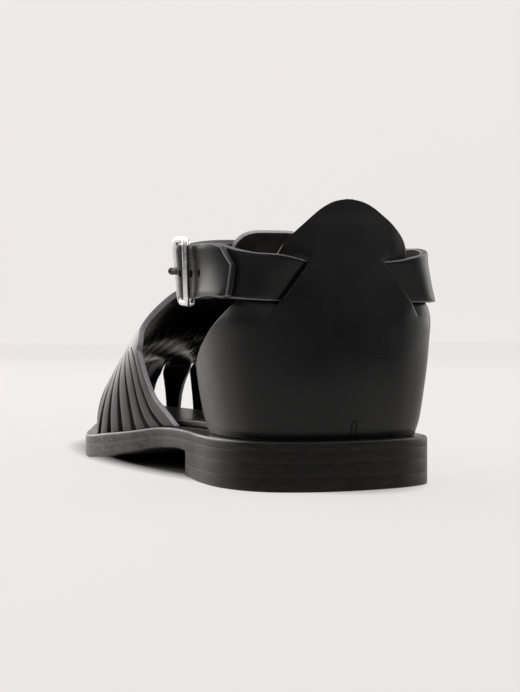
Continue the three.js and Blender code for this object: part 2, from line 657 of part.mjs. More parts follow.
// Round bar along a curve, with closed ends.
function bar(curve, radius, steps) {
  const section = new THREE.Shape().absarc(0, 0, radius, 0, 2 * Math.PI);
  return new THREE.ExtrudeGeometry(section, { extrudePath: curve, steps, curveSegments: 3 });
}

function solid(geometry) {
  const plain = geometry.clone();
  plain.deleteAttribute('normal');
  plain.deleteAttribute('uv');
  const merged = mergeVertices(plain, 1e-4);
  return new wasm.Manifold(new wasm.Mesh({
    numProp: 3,
    vertProperties: new Float32Array(merged.attributes.position.array),
    triVerts: new Uint32Array(merged.index.array),
  }));
}

function geometryOf(body) {
  const mesh = body.getMesh();
  return bodyFrom(Array.from(mesh.vertProperties), Array.from(mesh.triVerts));
}

// Frame of the buckle: two rails above and below the strap, joined by three bars.
const RAIL_CLEARANCE = 0.5;
const KNOB_RADIUS = 1.12;
const RAIL_HIGH = 0.5 + (BAR_RADIUS + RAIL_CLEARANCE) / STRAP_WIDTH;
const RAIL_STEPS = 6;
const BAR_STEPS = 2;
const barPlace = (place, high) => strapRound(place.round, high, place.out);
function buckleFrame() {
  const rail = (high) => bar(new THREE.CatmullRomCurve3(
    [FRONT_BAR, CENTRE_BAR, REAR_BAR].map((place) => barPlace(place, high))), BAR_RADIUS, RAIL_STEPS);
  const cross = (place) => bar(new THREE.LineCurve3(
    barPlace(place, -RAIL_HIGH), barPlace(place, RAIL_HIGH)), BAR_RADIUS, BAR_STEPS);
  const knob = (place, high) => {
    const centre = barPlace(place, high);
    return new THREE.SphereGeometry(KNOB_RADIUS, 8, 6).translate(centre.x, centre.y, centre.z);
  };
  const pieces = [rail(-RAIL_HIGH), rail(RAIL_HIGH), cross(FRONT_BAR), cross(CENTRE_BAR), cross(REAR_BAR)];
  for (const place of [FRONT_BAR, REAR_BAR]) {
    pieces.push(knob(place, -RAIL_HIGH), knob(place, RAIL_HIGH));
  }
  return pieces.map(solid).reduce((whole, piece) => whole.add(piece));
}

// Prong: from the centre bar, up through the strap's hole, to rest on the front bar.
const PRONG_RADIUS = 0.8;
const PRONG_REST = FRONT_BAR.out + BAR_RADIUS + SEAT_GAP + PRONG_RADIUS;
const PRONG_ROOT = { round: CENTRE_BAR.round - BAR_RADIUS - SEAT_GAP, out: CENTRE_BAR.out + 0.4 };
const PRONG_BEND = { round: FRONT_BAR.round + 3.4, out: PRONG_REST - 1.5 };
const PRONG_OVERHANG = 0.004;
const PRONG_STEPS = 10;
function prong(radius) {
  const way = [
    barPlace(PRONG_ROOT, 0),
    barPlace(PRONG_BEND, 0),
    barPlace({ round: FRONT_BAR.round, out: PRONG_REST }, 0),
    strapFront(-1, PRONG_OVERHANG, 0, PRONG_REST),
  ];
  return solid(bar(new THREE.CatmullRomCurve3(way), radius, PRONG_STEPS));
}

const BLACK_LEATHER = { color: 0x161617, roughness: 0.5, metalness: 0 };
const SOLE_LEATHER = { color: 0x1b1a1a, roughness: 0.6, metalness: 0 };
const POLISHED_STEEL = { color: 0xd8d6d0, roughness: 0.15, metalness: 1 };

const sandal = new THREE.Group();
sandal.position.set(0, -HEEL_CENTRE, 0);
function addPiece(name, geometry, look) {
  const mesh = new THREE.Mesh(geometry, new THREE.MeshStandardMaterial(look));
  mesh.name = name;
  sandal.add(mesh);
}

addPiece('outsole', soleLayer(underside, outsoleTop, 0, SOLE_STATIONS, SOLE_LENGTH), SOLE_LEATHER);
const midsoleUnder = (y) => outsoleTop(y) + SEAT_GAP;
addPiece('midsole', soleLayer(midsoleUnder, soleTop, 0, SOLE_STATIONS, SOLE_LENGTH), SOLE_LEATHER);
const seatUnder = (y) => underside(y) - SEAT_GAP;
const upperLift = soleLayer(() => HEEL_LIFT, seatUnder, 0, LIFT_STATIONS, HEEL_BREAST);
addPiece('heel_lift_upper', upperLift, SOLE_LEATHER);
const liftTop = () => HEEL_LIFT - SEAT_GAP;
addPiece('heel_lift_lower', soleLayer(() => 0, liftTop, 0, LIFT_STATIONS, HEEL_BREAST), SOLE_LEATHER);
const INSOLE_STATIONS = 24;
const INSOLE_TOE_ROOM = 2;
const insoleInset = (y) => sideView('rim', y) + COUNTER_WALL + 4 * SEAT_GAP
  + INSOLE_TOE_ROOM * THREE.MathUtils.smoothstep(y, TOE_ROUNDING_START, SOLE_LENGTH);
addPiece('insole', soleLayer((y) => soleTop(y) + SEAT_GAP, (y) => soleTop(y) + SEAT_GAP + INSOLE_THICKNESS,
  insoleInset, INSOLE_STATIONS, SOLE_LENGTH), BLACK_LEATHER);

const levelAtSole = (normal, point) => {
  const low = point.z - soleTop(point.y) < 2 * SEAT_GAP;
  return low ? normal.clone().setZ(0).normalize() : normal;
};
addPiece('vamp', leather(vampSheet(), VAMP_WALL, 0, levelAtSole), BLACK_LEATHER);
const counterHalf = COUNTER_WALL / 2;
addPiece('counter', leather(counterSheet(), counterHalf, counterHalf, levelAtSole), BLACK_LEATHER);
const strap = solid(leather(strapSheet(), STRAP_THICKNESS / 2, STRAP_THICKNESS / 2));
addPiece('ankle_strap', geometryOf(strap.subtract(prong(PRONG_RADIUS + SEAT_GAP))), BLACK_LEATHER);
addPiece('buckle_frame', geometryOf(buckleFrame()), POLISHED_STEEL);
addPiece('buckle_prong', geometryOf(prong(PRONG_RADIUS)), POLISHED_STEEL);

export default sandal;
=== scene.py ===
import bisect
import math
from functools import partial

import bpy
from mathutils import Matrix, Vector


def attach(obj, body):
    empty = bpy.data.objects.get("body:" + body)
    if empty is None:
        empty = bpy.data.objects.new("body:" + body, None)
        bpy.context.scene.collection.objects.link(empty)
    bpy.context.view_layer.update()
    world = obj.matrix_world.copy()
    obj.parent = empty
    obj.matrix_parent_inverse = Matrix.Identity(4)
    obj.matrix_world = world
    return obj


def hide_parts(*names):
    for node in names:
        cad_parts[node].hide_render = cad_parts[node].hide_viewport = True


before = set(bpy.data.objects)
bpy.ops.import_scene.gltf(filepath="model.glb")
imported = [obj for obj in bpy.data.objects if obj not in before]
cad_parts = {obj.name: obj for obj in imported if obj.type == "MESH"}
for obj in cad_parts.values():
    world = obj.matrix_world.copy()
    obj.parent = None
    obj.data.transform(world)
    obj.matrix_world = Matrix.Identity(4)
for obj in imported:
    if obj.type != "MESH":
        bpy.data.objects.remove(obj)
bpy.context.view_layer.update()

# Sole layers and heel lifts.
# Two layers of firm black leather run under the whole foot, and two shorter lifts make the low heel.
# They are cemented in a stack, trimmed together at the edge, stained, and burnished.

# Sizes of the pieces are in millimetres, and those in materials and in the set are in metres.
MM = 0.001
SOLE_LENGTH = 260.0
HEEL_CENTRE = 33.0
HEEL_BREAST = 67.0
HEEL_LIFT = 4.0
SEAT_GAP = 0.3
EDGE_ROUNDING = 0.5
SEAM_ROUNDING = 0.08
SEAM_GAP = 0.03
RIM_ROUNDING = 0.9
TREAD_RUN = 12.0
ROUNDING_STEPS = 4
SOLE_STATIONS = 150
LIFT_STATIONS = 80
EDGE_STEP = 0.004
CRISP_ANGLE = 40


def table(columns, *rows):
    """Rows of values under the names of their columns."""
    return [dict(zip(columns.split(), row)) for row in rows]


# Edge of the sole seen from above: a row for each station along the foot.
OUTLINE = table(
    "y lateral medial",
    (0, -8, -8),
    (3, -21.5, 9.5),
    (8, -27.3, 21.5),
    (16, -31.2, 30.6),
    (28, -33.4, 33.8),
    (45, -33.1, 34.4),
    (66, -30.6, 32.6),
    (85, -29.4, 31),
    (102, -30.8, 30.8),
    (120, -35.2, 33.4),
    (140, -39.4, 39.8),
    (157, -40.4, 45.4),
    (175, -36.4, 48.2),
    (195, -30, 46.8),
    (215, -22.6, 40.8),
    (235, -12.5, 30.5),
    (250, -1.5, 20),
    (257, 4.5, 14.5),
    (260, 9.5, 9.5),
)

# Side view of the sole: height of its underside, its two layers, and the rim left outside the upper.
SIDE_VIEW = table(
    "y underside outsole midsole rim",
    (0, 8.2, 3.2, 3.2, 4.4),
    (70, 8, 3.3, 3.3, 4.4),
    (100, 6.7, 3.7, 3.4, 2.4),
    (120, 4.1, 4, 3.4, 3),
    (140, 1.9, 4.2, 3.5, 3.8),
    (158, 0, 4.5, 3.7, 4),
    (192, 0, 4.5, 3.7, 4),
    (230, 2, 4.5, 3.7, 4),
    (260, 4.6, 4.4, 3.6, 4),
)


def clamp(value, low=0.0, high=1.0):
    return max(low, min(high, value))


def mix(low, high, share):
    return low + (high - low) * share


def smoothstep(value, low, high):
    share = clamp((value - low) / (high - low))
    return share * share * (3 - 2 * share)


def column(rows, key, name, at):
    """Smooth value of one column of a table, by cubic pieces through its rows."""
    i = bisect.bisect_left(rows, at, lo=1, hi=len(rows) - 1, key=lambda row: row[key]) - 1

    def slope(j):
        before = rows[max(j - 1, 0)]
        after = rows[min(j + 1, len(rows) - 1)]
        return (after[name] - before[name]) / (after[key] - before[key])

    start = rows[i]
    stop = rows[i + 1]
    span = stop[key] - start[key]
    t = clamp((at - start[key]) / span)
    rise = t * t * (3 - 2 * t)
    leaving = t * (1 - t) * (1 - t) * span * slope(i)
    arriving = -t * t * (1 - t) * span * slope(i + 1)
    return start[name] * (1 - rise) + stop[name] * rise + leaving + arriving


def turn_of(y):
    """Stations crowd together at the round heel and toe, so the outline is read along this turn."""
    return math.acos(clamp(1 - 2 * y / SOLE_LENGTH, -1, 1)) / math.pi


outline_turns = [dict(row, turn=turn_of(row["y"])) for row in OUTLINE]


def side_view(name, y):
    return column(SIDE_VIEW, "y", name, y)


def underside(y):
    return max(0.0, side_view("underside", y))


def outsole_top(y):
    return underside(y) + side_view("outsole", y)


def sole_top(y):
    return outsole_top(y) + side_view("midsole", y)


def edge_point(way, inset):
    """Point of the sole's edge, set in: way 0 at the heel, by the lateral side to 1 at the toe, back to 2."""
    def at(w):
        w = (w + 2) % 2
        side = "lateral" if w <= 1 else "medial"
        turn = w if w <= 1 else 2 - w
        x = column(outline_turns, "turn", side, turn)
        return Vector((x, SOLE_LENGTH * (1 - math.cos(math.pi * turn)) / 2))

    point = at(way)
    along = (at(way + EDGE_STEP) - at(way - EDGE_STEP)).normalized()
    return point + Vector((along.y, -along.x)) * inset(point.y)


def make_piece(name, points, faces, materials=(), kinds=None, edges=()):
    """New piece from points in millimetres, measured from the back of the heel."""
    mesh = bpy.data.meshes.new(name)
    places = [(p.x * MM, (p.y - HEEL_CENTRE) * MM, p.z * MM) for p in points]
    mesh.from_pydata(places, edges, faces)
    for material in materials:
        mesh.materials.append(material)
    if kinds:
        mesh.polygons.foreach_set("material_index", kinds)
    piece = bpy.data.objects.new(name, mesh)
    bpy.context.scene.collection.objects.link(piece)
    return piece


def settle(piece, crisp_angle=CRISP_ANGLE):
    """Turns a piece's modifiers into a plain mesh, smooth but for its crisp edges."""
    depsgraph = bpy.context.evaluated_depsgraph_get()
    mesh = bpy.data.meshes.new_from_object(piece.evaluated_get(depsgraph), depsgraph=depsgraph)
    piece.modifiers.clear()
    piece.data = mesh
    mesh.polygons.foreach_set("use_smooth", [True] * len(mesh.polygons))
    mesh.set_sharp_from_angle(angle=math.radians(crisp_angle))


def fix(piece, slot, *nodes):
    """The piece stands for its solids, which it hides, and stays with the shoe. Its slot is not used."""
    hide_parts(*nodes)
    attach(piece, "root")


def same(value):
    """A size that stays the same along the sole."""
    return lambda y: value


no_inset = same(0.0)
seam_rounding = same(SEAM_ROUNDING)
edge_rounding = same(EDGE_ROUNDING)
rim_rounding = same(RIM_ROUNDING)


def tread_rounding(y):
    """The outsole's lower edge is rounded ahead of the heel, and sharp in the seam above the heel."""
    return mix(SEAM_ROUNDING, RIM_ROUNDING, smoothstep(y, HEEL_BREAST, HEEL_BREAST + TREAD_RUN))


# Steps of an edge of rounding 1, from the flat face to the side: how far in, and how far from the face.
rounding_angles = [0.5 * math.pi * i / ROUNDING_STEPS for i in range(ROUNDING_STEPS + 1)]
ROUNDED_EDGE = [(1 - math.sin(angle), 1 - math.cos(angle)) for angle in rounding_angles]


def sole_layer(name, bottom_at, top_at, inset, stations, end, material,
               below=edge_rounding, above=edge_rounding):
    """One layer between two heights with rounded edges. A heel lift ends in a straight breast."""
    end_turn = turn_of(end)
    ways = [end_turn * i / stations for i in range(stations + 1)]
    final = stations - 1 if end >= SOLE_LENGTH else stations
    ways += [2 - end_turn * i / stations for i in range(final, 0, -1)]
    rings = [(bottom_at, below, extra, lift) for extra, lift in ROUNDED_EDGE]
    rings += [(top_at, above, extra, -lift) for extra, lift in reversed(ROUNDED_EDGE)]
    edges = [edge_point(way, no_inset) for way in ways]
    points = []
    for height, radius, extra, lift in rings:
        for way, edge in zip(ways, edges):
            point = edge_point(way, lambda y: inset(y) + extra * radius(y))
            points.append(Vector((point.x, min(point.y, end), height(edge.y) + lift * radius(edge.y))))
    count = len(ways)
    faces = []
    for r in range(len(rings) - 1):
        for i in range(count):
            after = (i + 1) % count
            faces.append((r * count + after, r * count + i, (r + 1) * count + i, (r + 1) * count + after))
    last = (len(rings) - 1) * count
    for i in range(count // 2 + 1):
        rung = [i, i + 1, count - 1 - i, (count - i) % count]
        rung = list(dict.fromkeys(rung))
        if i >= count - 1 - i or len(rung) < 3:
            break
        faces.append(tuple(rung))
        faces.append(tuple(last + corner for corner in reversed(rung)))
    piece = make_piece(name, points, faces, [material])
    settle(piece)
    return piece


def new_material(name):
    """New material, its shader, and the wiring of its tree."""
    material = bpy.data.materials.new(name)
    material.use_nodes = True
    shader = material.node_tree.nodes["Principled BSDF"]
    return material, shader, Wiring(material.node_tree)


class Wiring:
    """Adds nodes to a tree. A value for a socket is a link from another socket, or a constant."""

    COLOUR_A, COLOUR_B, COLOUR_RESULT = 6, 7, 2

    def __init__(self, tree):
        self.tree = tree

    def link(self, start, stop):
        self.tree.links.new(start, stop)

    def fill(self, socket, value):
        if isinstance(value, bpy.types.NodeSocket):
            self.link(value, socket)
        else:
            socket.default_value = value

    def feed(self, node, **values):
        """Fills sockets by name, with low lines for the spaces in it."""
        for name, value in values.items():
            self.fill(node.inputs[name.replace("_", " ")], value)

    def node(self, kind, settings=None, **values):
        made = self.tree.nodes.new(kind)
        for name, value in (settings or {}).items():
            setattr(made, name, value)
        self.feed(made, **values)
        return made

    def place(self):
        return self.node("ShaderNodeTexCoord").outputs["Object"]

    def noise(self, place, scale=1.0, **values):
        return self.node("ShaderNodeTexNoise", Vector=place, Scale=scale, **values).outputs[0]

    def math(self, operation, first, second):
        made = self.node("ShaderNodeMath", {"operation": operation})
        self.fill(made.inputs[0], first)
        self.fill(made.inputs[1], second)
        return made.outputs[0]

    def vector(self, operation, *values):
        made = self.node("ShaderNodeVectorMath", {"operation": operation})
        for socket, value in zip(made.inputs, values):
            self.fill(socket, value)
        return made.outputs["Value" if operation == "LENGTH" else "Vector"]

    def blend(self, share, first, second):
        made = self.node("ShaderNodeMix", {"data_type": "RGBA"})
        self.fill(made.inputs[0], share)
        self.fill(made.inputs[self.COLOUR_A], first)
        self.fill(made.inputs[self.COLOUR_B], second)
        return made.outputs[self.COLOUR_RESULT]

    def ramp(self, value, low, high, over=(0.0, 1.0)):
        """Goes from low to high while the value goes over a range."""
        made = self.node("ShaderNodeMapRange", Value=value, From_Min=over[0], From_Max=over[1])
        self.feed(made, To_Min=low, To_Max=high)
        return made.outputs["Result"]

    def bump(self, shader, height, strength, depth):
        made = self.node("ShaderNodeBump", Strength=strength, Distance=depth, Height=height)
        self.feed(shader, Normal=made.outputs[0])


def shader_group(name, inputs, outputs):
    """Shader node group with inputs of given kinds, outputs that are values, and the wiring of its inside."""
    tree = bpy.data.node_groups.new(name, "ShaderNodeTree")
    for socket, kind in inputs.items():
        tree.interface.new_socket(socket, in_out="INPUT", socket_type=kind)
    for socket in outputs:
        tree.interface.new_socket(socket, in_out="OUTPUT", socket_type="NodeSocketFloat")
    wiring = Wiring(tree)
    return tree, wiring, wiring.node("NodeGroupInput"), wiring.node("NodeGroupOutput")


# Burnished edge: fine level fibre lines of the stacked leather, with scuffs and a little uneven stain.
edge_fibre, wires, given, result = shader_group(
    "stacked_edge_fibre",
    {"Vector": "NodeSocketVector"},
    ["Lines", "Scuffs", "Stain"],
)
LINE_SCALE = (60, 60, 2600)
SCUFF_SCALE = (260, 260, 900)
STAIN_SCALE = 70.0
level = wires.node("ShaderNodeMapping", Vector=given.outputs["Vector"], Scale=LINE_SCALE).outputs[0]
drawn = wires.node("ShaderNodeMapping", Vector=given.outputs["Vector"], Scale=SCUFF_SCALE).outputs[0]
wires.feed(
    result,
    Lines=wires.noise(level, Detail=4.0, Roughness=0.6),
    Scuffs=wires.noise(drawn, Detail=6.0, Roughness=0.7),
    Stain=wires.noise(given.outputs["Vector"], STAIN_SCALE, Detail=3.0),
)

# The stain is black, worn in the scuffs, and brown in patches by the breast. The forefoot is paler grey,
# faded, and with a painted sheen for the pale set reflected in its edge.
# Runs and heights are places on the sole in metres, and scuffs and patches are levels of the noise.
STAIN_BLACK = (0.007, 0.0067, 0.0067, 1)
STAIN_WORN = (0.018, 0.0168, 0.0162, 1)
WORN_SCUFFS = (0.45, 0.75)
STAIN_BROWN = (0.07, 0.049, 0.038, 1)
BROWN_SHARE = 0.8
BROWN_PATCHES = (0.45, 0.7)
BROWN_RUN = (-0.005, 0.03)
BROWN_HEIGHT = (0.008, 0.014)
FADED_SHEEN_GREY = (0.14, 0.1325, 0.126, 1)
FADED_SHEEN_LEAST = 0.25
FADED_SHEEN_SCUFFS = (0.35, 0.65)
FADED_SHEEN_RUN = (0.035, 0.11)
SOLE_GLOSS = (0.25, 0.45)
SOLE_SPECULAR = 0.15
SCUFF_RELIEF = 0.8
EDGE_RELIEF = 0.5
EDGE_RELIEF_DEPTH = 0.00012
sole_leather, shader, wires = new_material("burnished_sole_leather")
place = wires.place()
spot = wires.node("ShaderNodeSeparateXYZ", Vector=place)
fibre = wires.node("ShaderNodeGroup", {"node_tree": edge_fibre}, Vector=place)
scuffs = fibre.outputs["Scuffs"]
black = wires.blend(wires.ramp(scuffs, 0, 1, WORN_SCUFFS), STAIN_BLACK, STAIN_WORN)
patches = wires.ramp(fibre.outputs["Stain"], 0, BROWN_SHARE, BROWN_PATCHES)
brown = wires.math("MULTIPLY", wires.ramp(spot.outputs["Y"], 0, 1, BROWN_RUN), patches)
brown = wires.math("MULTIPLY", brown, wires.ramp(spot.outputs["Z"], 1, 0, BROWN_HEIGHT))
stained = wires.blend(brown, black, STAIN_BROWN)
# Painted sheen with fading: the sole's edge turns paler grey from the breast to the forefoot.
forward = wires.ramp(spot.outputs["Y"], 0, 1, FADED_SHEEN_RUN)
faded_and_sheen = wires.math("MULTIPLY", forward, wires.ramp(scuffs, FADED_SHEEN_LEAST, 1, FADED_SHEEN_SCUFFS))
wires.feed(
    shader,
    Base_Color=wires.blend(faded_and_sheen, stained, FADED_SHEEN_GREY),
    Roughness=wires.ramp(scuffs, *SOLE_GLOSS),
    Specular_IOR_Level=SOLE_SPECULAR,
)
relief = wires.math("ADD", fibre.outputs["Lines"], wires.math("MULTIPLY", scuffs, SCUFF_RELIEF))
wires.bump(shader, relief, EDGE_RELIEF, EDGE_RELIEF_DEPTH)


def midsole_seat(y):
    return outsole_top(y) + SEAT_GAP


def outsole_seam(y):
    return midsole_seat(y) - SEAM_GAP


def heel_seat(y):
    return underside(y) - SEAM_GAP


outsole = sole_layer("outsole_leather", underside, outsole_seam, no_inset,
                     SOLE_STATIONS, SOLE_LENGTH, sole_leather, tread_rounding, seam_rounding)
fix(outsole, "sole_leather", "outsole")
midsole = sole_layer("midsole_leather", midsole_seat, sole_top, no_inset,
                     SOLE_STATIONS, SOLE_LENGTH, sole_leather, seam_rounding, rim_rounding)
fix(midsole, "sole_leather", "midsole")
upper_lift = sole_layer("upper_heel_lift", same(HEEL_LIFT), heel_seat, no_inset,
                        LIFT_STATIONS, HEEL_BREAST, sole_leather, seam_rounding, seam_rounding)
fix(upper_lift, "sole_leather", "heel_lift_upper")
lower_lift = sole_layer("lower_heel_lift", same(0.0), same(HEEL_LIFT - SEAM_GAP), no_inset,
                        LIFT_STATIONS, HEEL_BREAST, sole_leather, edge_rounding, seam_rounding)
fix(lower_lift, "sole_leather", "heel_lift_lower")

# Insole.
# A sheet of smooth black leather on which the foot stands. It is cut a little smaller than the sole
# and cemented to it inside the upper, with its edge left showing.
INSOLE_THICKNESS = 2.0
INSOLE_STATIONS = 70
INSOLE_TOE_ROOM = 2.0
INSOLE_CLEARANCE = 4 * SEAT_GAP
COUNTER_WALL = 2.2
TOE_ROUNDING_START = 226.0

# Natural grain of the leather: small pebbles with pores between them, and slow changes of tone.
leather_grain, wires, given, result = shader_group(
    "leather_grain",
    {"Vector": "NodeSocketVector", "Pebble Scale": "NodeSocketFloat"},
    ["Pebbles", "Tone", "Creases"],
)
STIR_SCALE = 420.0
STIR_REACH = (0.0006, 0.0006, 0.0006)
PEBBLE_SMOOTHNESS = 0.4
TONE_SCALE = 55.0
CREASE_SCALE = 210.0
stir = wires.node("ShaderNodeTexNoise", Vector=given.outputs["Vector"], Scale=STIR_SCALE, Detail=2.0)
stirred = wires.vector("MULTIPLY_ADD", stir.outputs["Color"], STIR_REACH, given.outputs["Vector"])
pebbles = wires.node("ShaderNodeTexVoronoi", {"feature": "SMOOTH_F1"}, Vector=stirred,
                     Scale=given.outputs["Pebble Scale"], Smoothness=PEBBLE_SMOOTHNESS)
wires.feed(
    result,
    Pebbles=pebbles.outputs["Distance"],
    Tone=wires.noise(given.outputs["Vector"], TONE_SCALE, Detail=4.0, Roughness=0.55),
    Creases=wires.noise(given.outputs["Vector"], CREASE_SCALE, Detail=5.0, Distortion=0.6),
)
TONE_RANGE = (0.35, 0.68)
TONE_GLOSS = 0.6
CREASE_GLOSS = 0.4
CREASE_RELIEF = 0.9
GRAIN_DEPTH = 0.00012
SHEEN_ROUGHNESS = 0.35


def grained_leather(name, deep, pale, gloss, relief, pebble_scale, specular, sheen=0.0):
    """Dyed leather with its grain side out."""
    material, shader, wires = new_material(name)
    grain = wires.node("ShaderNodeGroup", {"node_tree": leather_grain}, Vector=wires.place(),
                       Pebble_Scale=pebble_scale)
    tone = wires.ramp(grain.outputs["Tone"], 0, 1, TONE_RANGE)
    creases = grain.outputs["Creases"]
    tone_polish = wires.math("MULTIPLY", tone, TONE_GLOSS)
    polish = wires.math("ADD", tone_polish, wires.math("MULTIPLY", creases, CREASE_GLOSS))
    wires.feed(
        shader,
        Base_Color=wires.blend(tone, deep, pale),
        Roughness=wires.ramp(polish, *gloss),
        Specular_IOR_Level=specular,
        Sheen_Weight=sheen,
        Sheen_Roughness=SHEEN_ROUGHNESS,
    )
    raised = wires.math("SUBTRACT", wires.math("MULTIPLY", creases, CREASE_RELIEF), grain.outputs["Pebbles"])
    wires.bump(shader, raised, relief, GRAIN_DEPTH)
    return material


INSOLE_BLACK = (0.008, 0.008, 0.008, 1)
INSOLE_GREY = (0.014, 0.0135, 0.0135, 1)
insole_leather = grained_leather("insole_leather", INSOLE_BLACK, INSOLE_GREY, gloss=(0.3, 0.46), relief=0.35,
                                 pebble_scale=1300.0, specular=0.22)


def insole_inset(y):
    toe_room = INSOLE_TOE_ROOM * smoothstep(y, TOE_ROUNDING_START, SOLE_LENGTH)
    return side_view("rim", y) + COUNTER_WALL + INSOLE_CLEARANCE + toe_room


insole = sole_layer("insole_sheet", lambda y: sole_top(y) + SEAT_GAP,
                    lambda y: sole_top(y) + SEAT_GAP + INSOLE_THICKNESS, insole_inset,
                    INSOLE_STATIONS, SOLE_LENGTH, insole_leather)
fix(insole, "insole_leather", "insole")

# Vamp.
# One piece of black leather over the forefoot, slit into strips from the sole up to the instep and
# carried on as a tongue. It is shaped wet on the last, and its strip ends go under the insole.
VAMP_WALL = 2.0
VAMP_START = 92.0
STRIP_COUNT = 29
STRIP_DOME = 0.16

# Last under the vamp: height of its ridge above the sole, the ridge's place across the foot, and how
# full its shoulders are.
LAST = table(
    "y instep ridge fullness",
    (90, 74, 11, 2.25),
    (96, 62.8, 10.5, 2.25),
    (101, 55.2, 10, 2.25),
    (105, 51.6, 9.5, 2.25),
    (110, 49.8, 8.8, 2.25),
    (118, 49.8, 7.6, 2.5),
    (128, 50.9, 6.5, 2.75),
    (145, 43.5, 5.5, 2.4),
    (158, 37, 5.5, 2.2),
    (170, 33, 6, 2.25),
    (188, 28.8, 7.5, 2.25),
    (208, 25.5, 8.5, 2.25),
    (228, 23, 9.5, 2.25),
    (260, 20, 9.5, 2.25),
)

# Where each rib of the vamp ends, from the rear strip (share 0) to the toe's middle (share 1): the line
# on which the slits stop, then the throat and tongue. Out is a part of the half width from the ridge.
RIB_ENDS = table(
    "share slit_out slit_y throat_out throat_y",
    (0, 0.93, 126, 0.915, 126.3),
    (0.1, 0.89, 136, 0.84, 131),
    (0.25, 0.81, 141.5, 0.74, 132.4),
    (0.5, 0.65, 147.5, 0.6, 128.5),
    (0.7, 0.43, 151.5, 0.47, 114),
    (0.84, 0.24, 154, 0.43, 100),
    (0.93, 0.11, 155, 0.34, 95.3),
    (1, 0, 155.3, 0, 94.9),
)


class Sheet:
    """Surface of four-sided cells. Cells that name the same corner share it. Edges between marked
    corners have a look of their own."""

    def __init__(self):
        self.corners = {}
        self.points = []
        self.swell = []
        self.cells = []
        self.marked = set()

    def corner(self, name, place, swell=0.0):
        if name not in self.corners:
            self.corners[name] = len(self.points)
            self.points.append(place())
            self.swell.append(swell)
        return self.corners[name]

    def normals(self):
        sums = [Vector((0, 0, 0)) for _ in self.points]
        for a, b, c, d in self.cells:
            facing = (self.points[c] - self.points[a]).cross(self.points[d] - self.points[b])
            for corner in (a, b, c, d):
                sums[corner] += facing
        return [total.normalized() for total in sums]


# Looks of a piece of leather, in the order of its materials.
# Fourth look: worn pale cut edge on the vamp, painted highlight on the rounded corners of counter and strap.
GRAIN_SIDE, FLESH_SIDE, CUT_EDGE, EDGE_WEAR_AND_HIGHLIGHT = range(4)
SAME_LOOK = -1
CUT_ROUNDING = 0.35
CUT_SEGMENTS = 2
CUT_ANGLE = 50
SOLE_BAND = 2 * SEAT_GAP


def level_at_sole(normal, point):
    """Leather that meets the sole grows level there, so that it stays on it."""
    if point.z - sole_top(point.y) < SOLE_BAND:
        return Vector((normal.x, normal.y, 0)).normalized()
    return normal


def leather(name, sheet, outwards, inwards, materials, level=True, corner_look=SAME_LOOK):
    """Leather cut from a sheet: grain side, flesh side and cut edges, which are slightly rounded."""
    normals = sheet.normals()
    if level:
        normals = [level_at_sole(normal, point) for normal, point in zip(normals, sheet.points)]
    count = len(sheet.points)
    points = []
    for by in (outwards, -inwards):
        for point, normal, swell in zip(sheet.points, normals, sheet.swell):
            points.append(point + normal * (by + swell))
    faces = []
    kinds = []
    rims = {}
    for a, b, c, d in sheet.cells:
        faces.append((a, b, c, d))
        faces.append((count + d, count + c, count + b, count + a))
        kinds += [GRAIN_SIDE, FLESH_SIDE]
        for start, stop in ((a, b), (b, c), (c, d), (d, a)):
            if (stop, start) in rims:
                del rims[(stop, start)]
            else:
                rims[(start, stop)] = True
    for start, stop in rims:
        faces.append((count + start, count + stop, stop, start))
        kinds.append(EDGE_WEAR_AND_HIGHLIGHT if {start, stop} <= sheet.marked else CUT_EDGE)
    piece = make_piece(name, points, faces, materials, kinds)
    bevel = piece.modifiers.new("rounded_cut", "BEVEL")
    bevel.width = CUT_ROUNDING * MM
    bevel.segments = CUT_SEGMENTS
    bevel.material = corner_look
    bevel.limit_method = "ANGLE"
    bevel.angle_limit = math.radians(CUT_ANGLE)
    settle(piece)
    return piece


def vamp_inset(y):
    return side_view("rim", y) + VAMP_WALL


TOE_END = edge_point(1, vamp_inset).y
FEATHER_ROWS = 60
REAR_WAY = 0.2
DEPTH_STEP = 0.05


def depth_of(y):
    return math.sqrt(max(0.0, TOE_END - y))


# Feather line, where the vamp meets the sole: its place across the foot on either side, by depth behind
# the toe.
feather_rows = {"lateral": [], "medial": []}
for i in range(FEATHER_ROWS + 1):
    way = 1 - (1 - REAR_WAY) * i / FEATHER_ROWS
    for side, edge in (("lateral", edge_point(way, vamp_inset)), ("medial", edge_point(2 - way, vamp_inset))):
        rows = feather_rows[side]
        depth = depth_of(edge.y)
        if not rows or depth > rows[-1]["depth"] + DEPTH_STEP:
            rows.append(dict(x=edge.x, depth=depth))


def ridge_at(y):
    return column(LAST, "y", "ridge", y)


# The tongue stands free of the sole. It is flatter across than the last below it, and nearly as wide to
# the medial side as to the lateral one. Free is 1 for leather that leads to the tongue and 0 for strips.
TONGUE_FROM = 100.0
TONGUE_TO = 125.0
TONGUE_WIDENING = 0.6
TONGUE_FLATNESS = 0.75
LEAST_HALF_WIDTH = 0.01


def on_tongue(y):
    return 1 - smoothstep(y, TONGUE_FROM, TONGUE_TO)


def half_width(side, y, free):
    width = abs(column(feather_rows[side], "depth", "x", depth_of(y)) - ridge_at(y))
    return width * (1 + TONGUE_WIDENING * free * on_tongue(y)) if side == "medial" else width


def instep_rise(y):
    past = max(0.0, (y - TOE_ROUNDING_START) / (TOE_END - TOE_ROUNDING_START))
    return column(LAST, "y", "instep", y) * math.sqrt(max(0.0, 1 - past * past))


def last_height(x, y, free):
    ridge = ridge_at(y)
    half = max(LEAST_HALF_WIDTH, half_width("lateral" if x < ridge else "medial", y, free))
    across = min(1.0, abs(x - ridge) / half)
    fullness = column(LAST, "y", "fullness", y) + TONGUE_FLATNESS * free * on_tongue(y)
    return sole_top(y) + instep_rise(y) * (1 - across ** fullness) ** (1 / fullness)


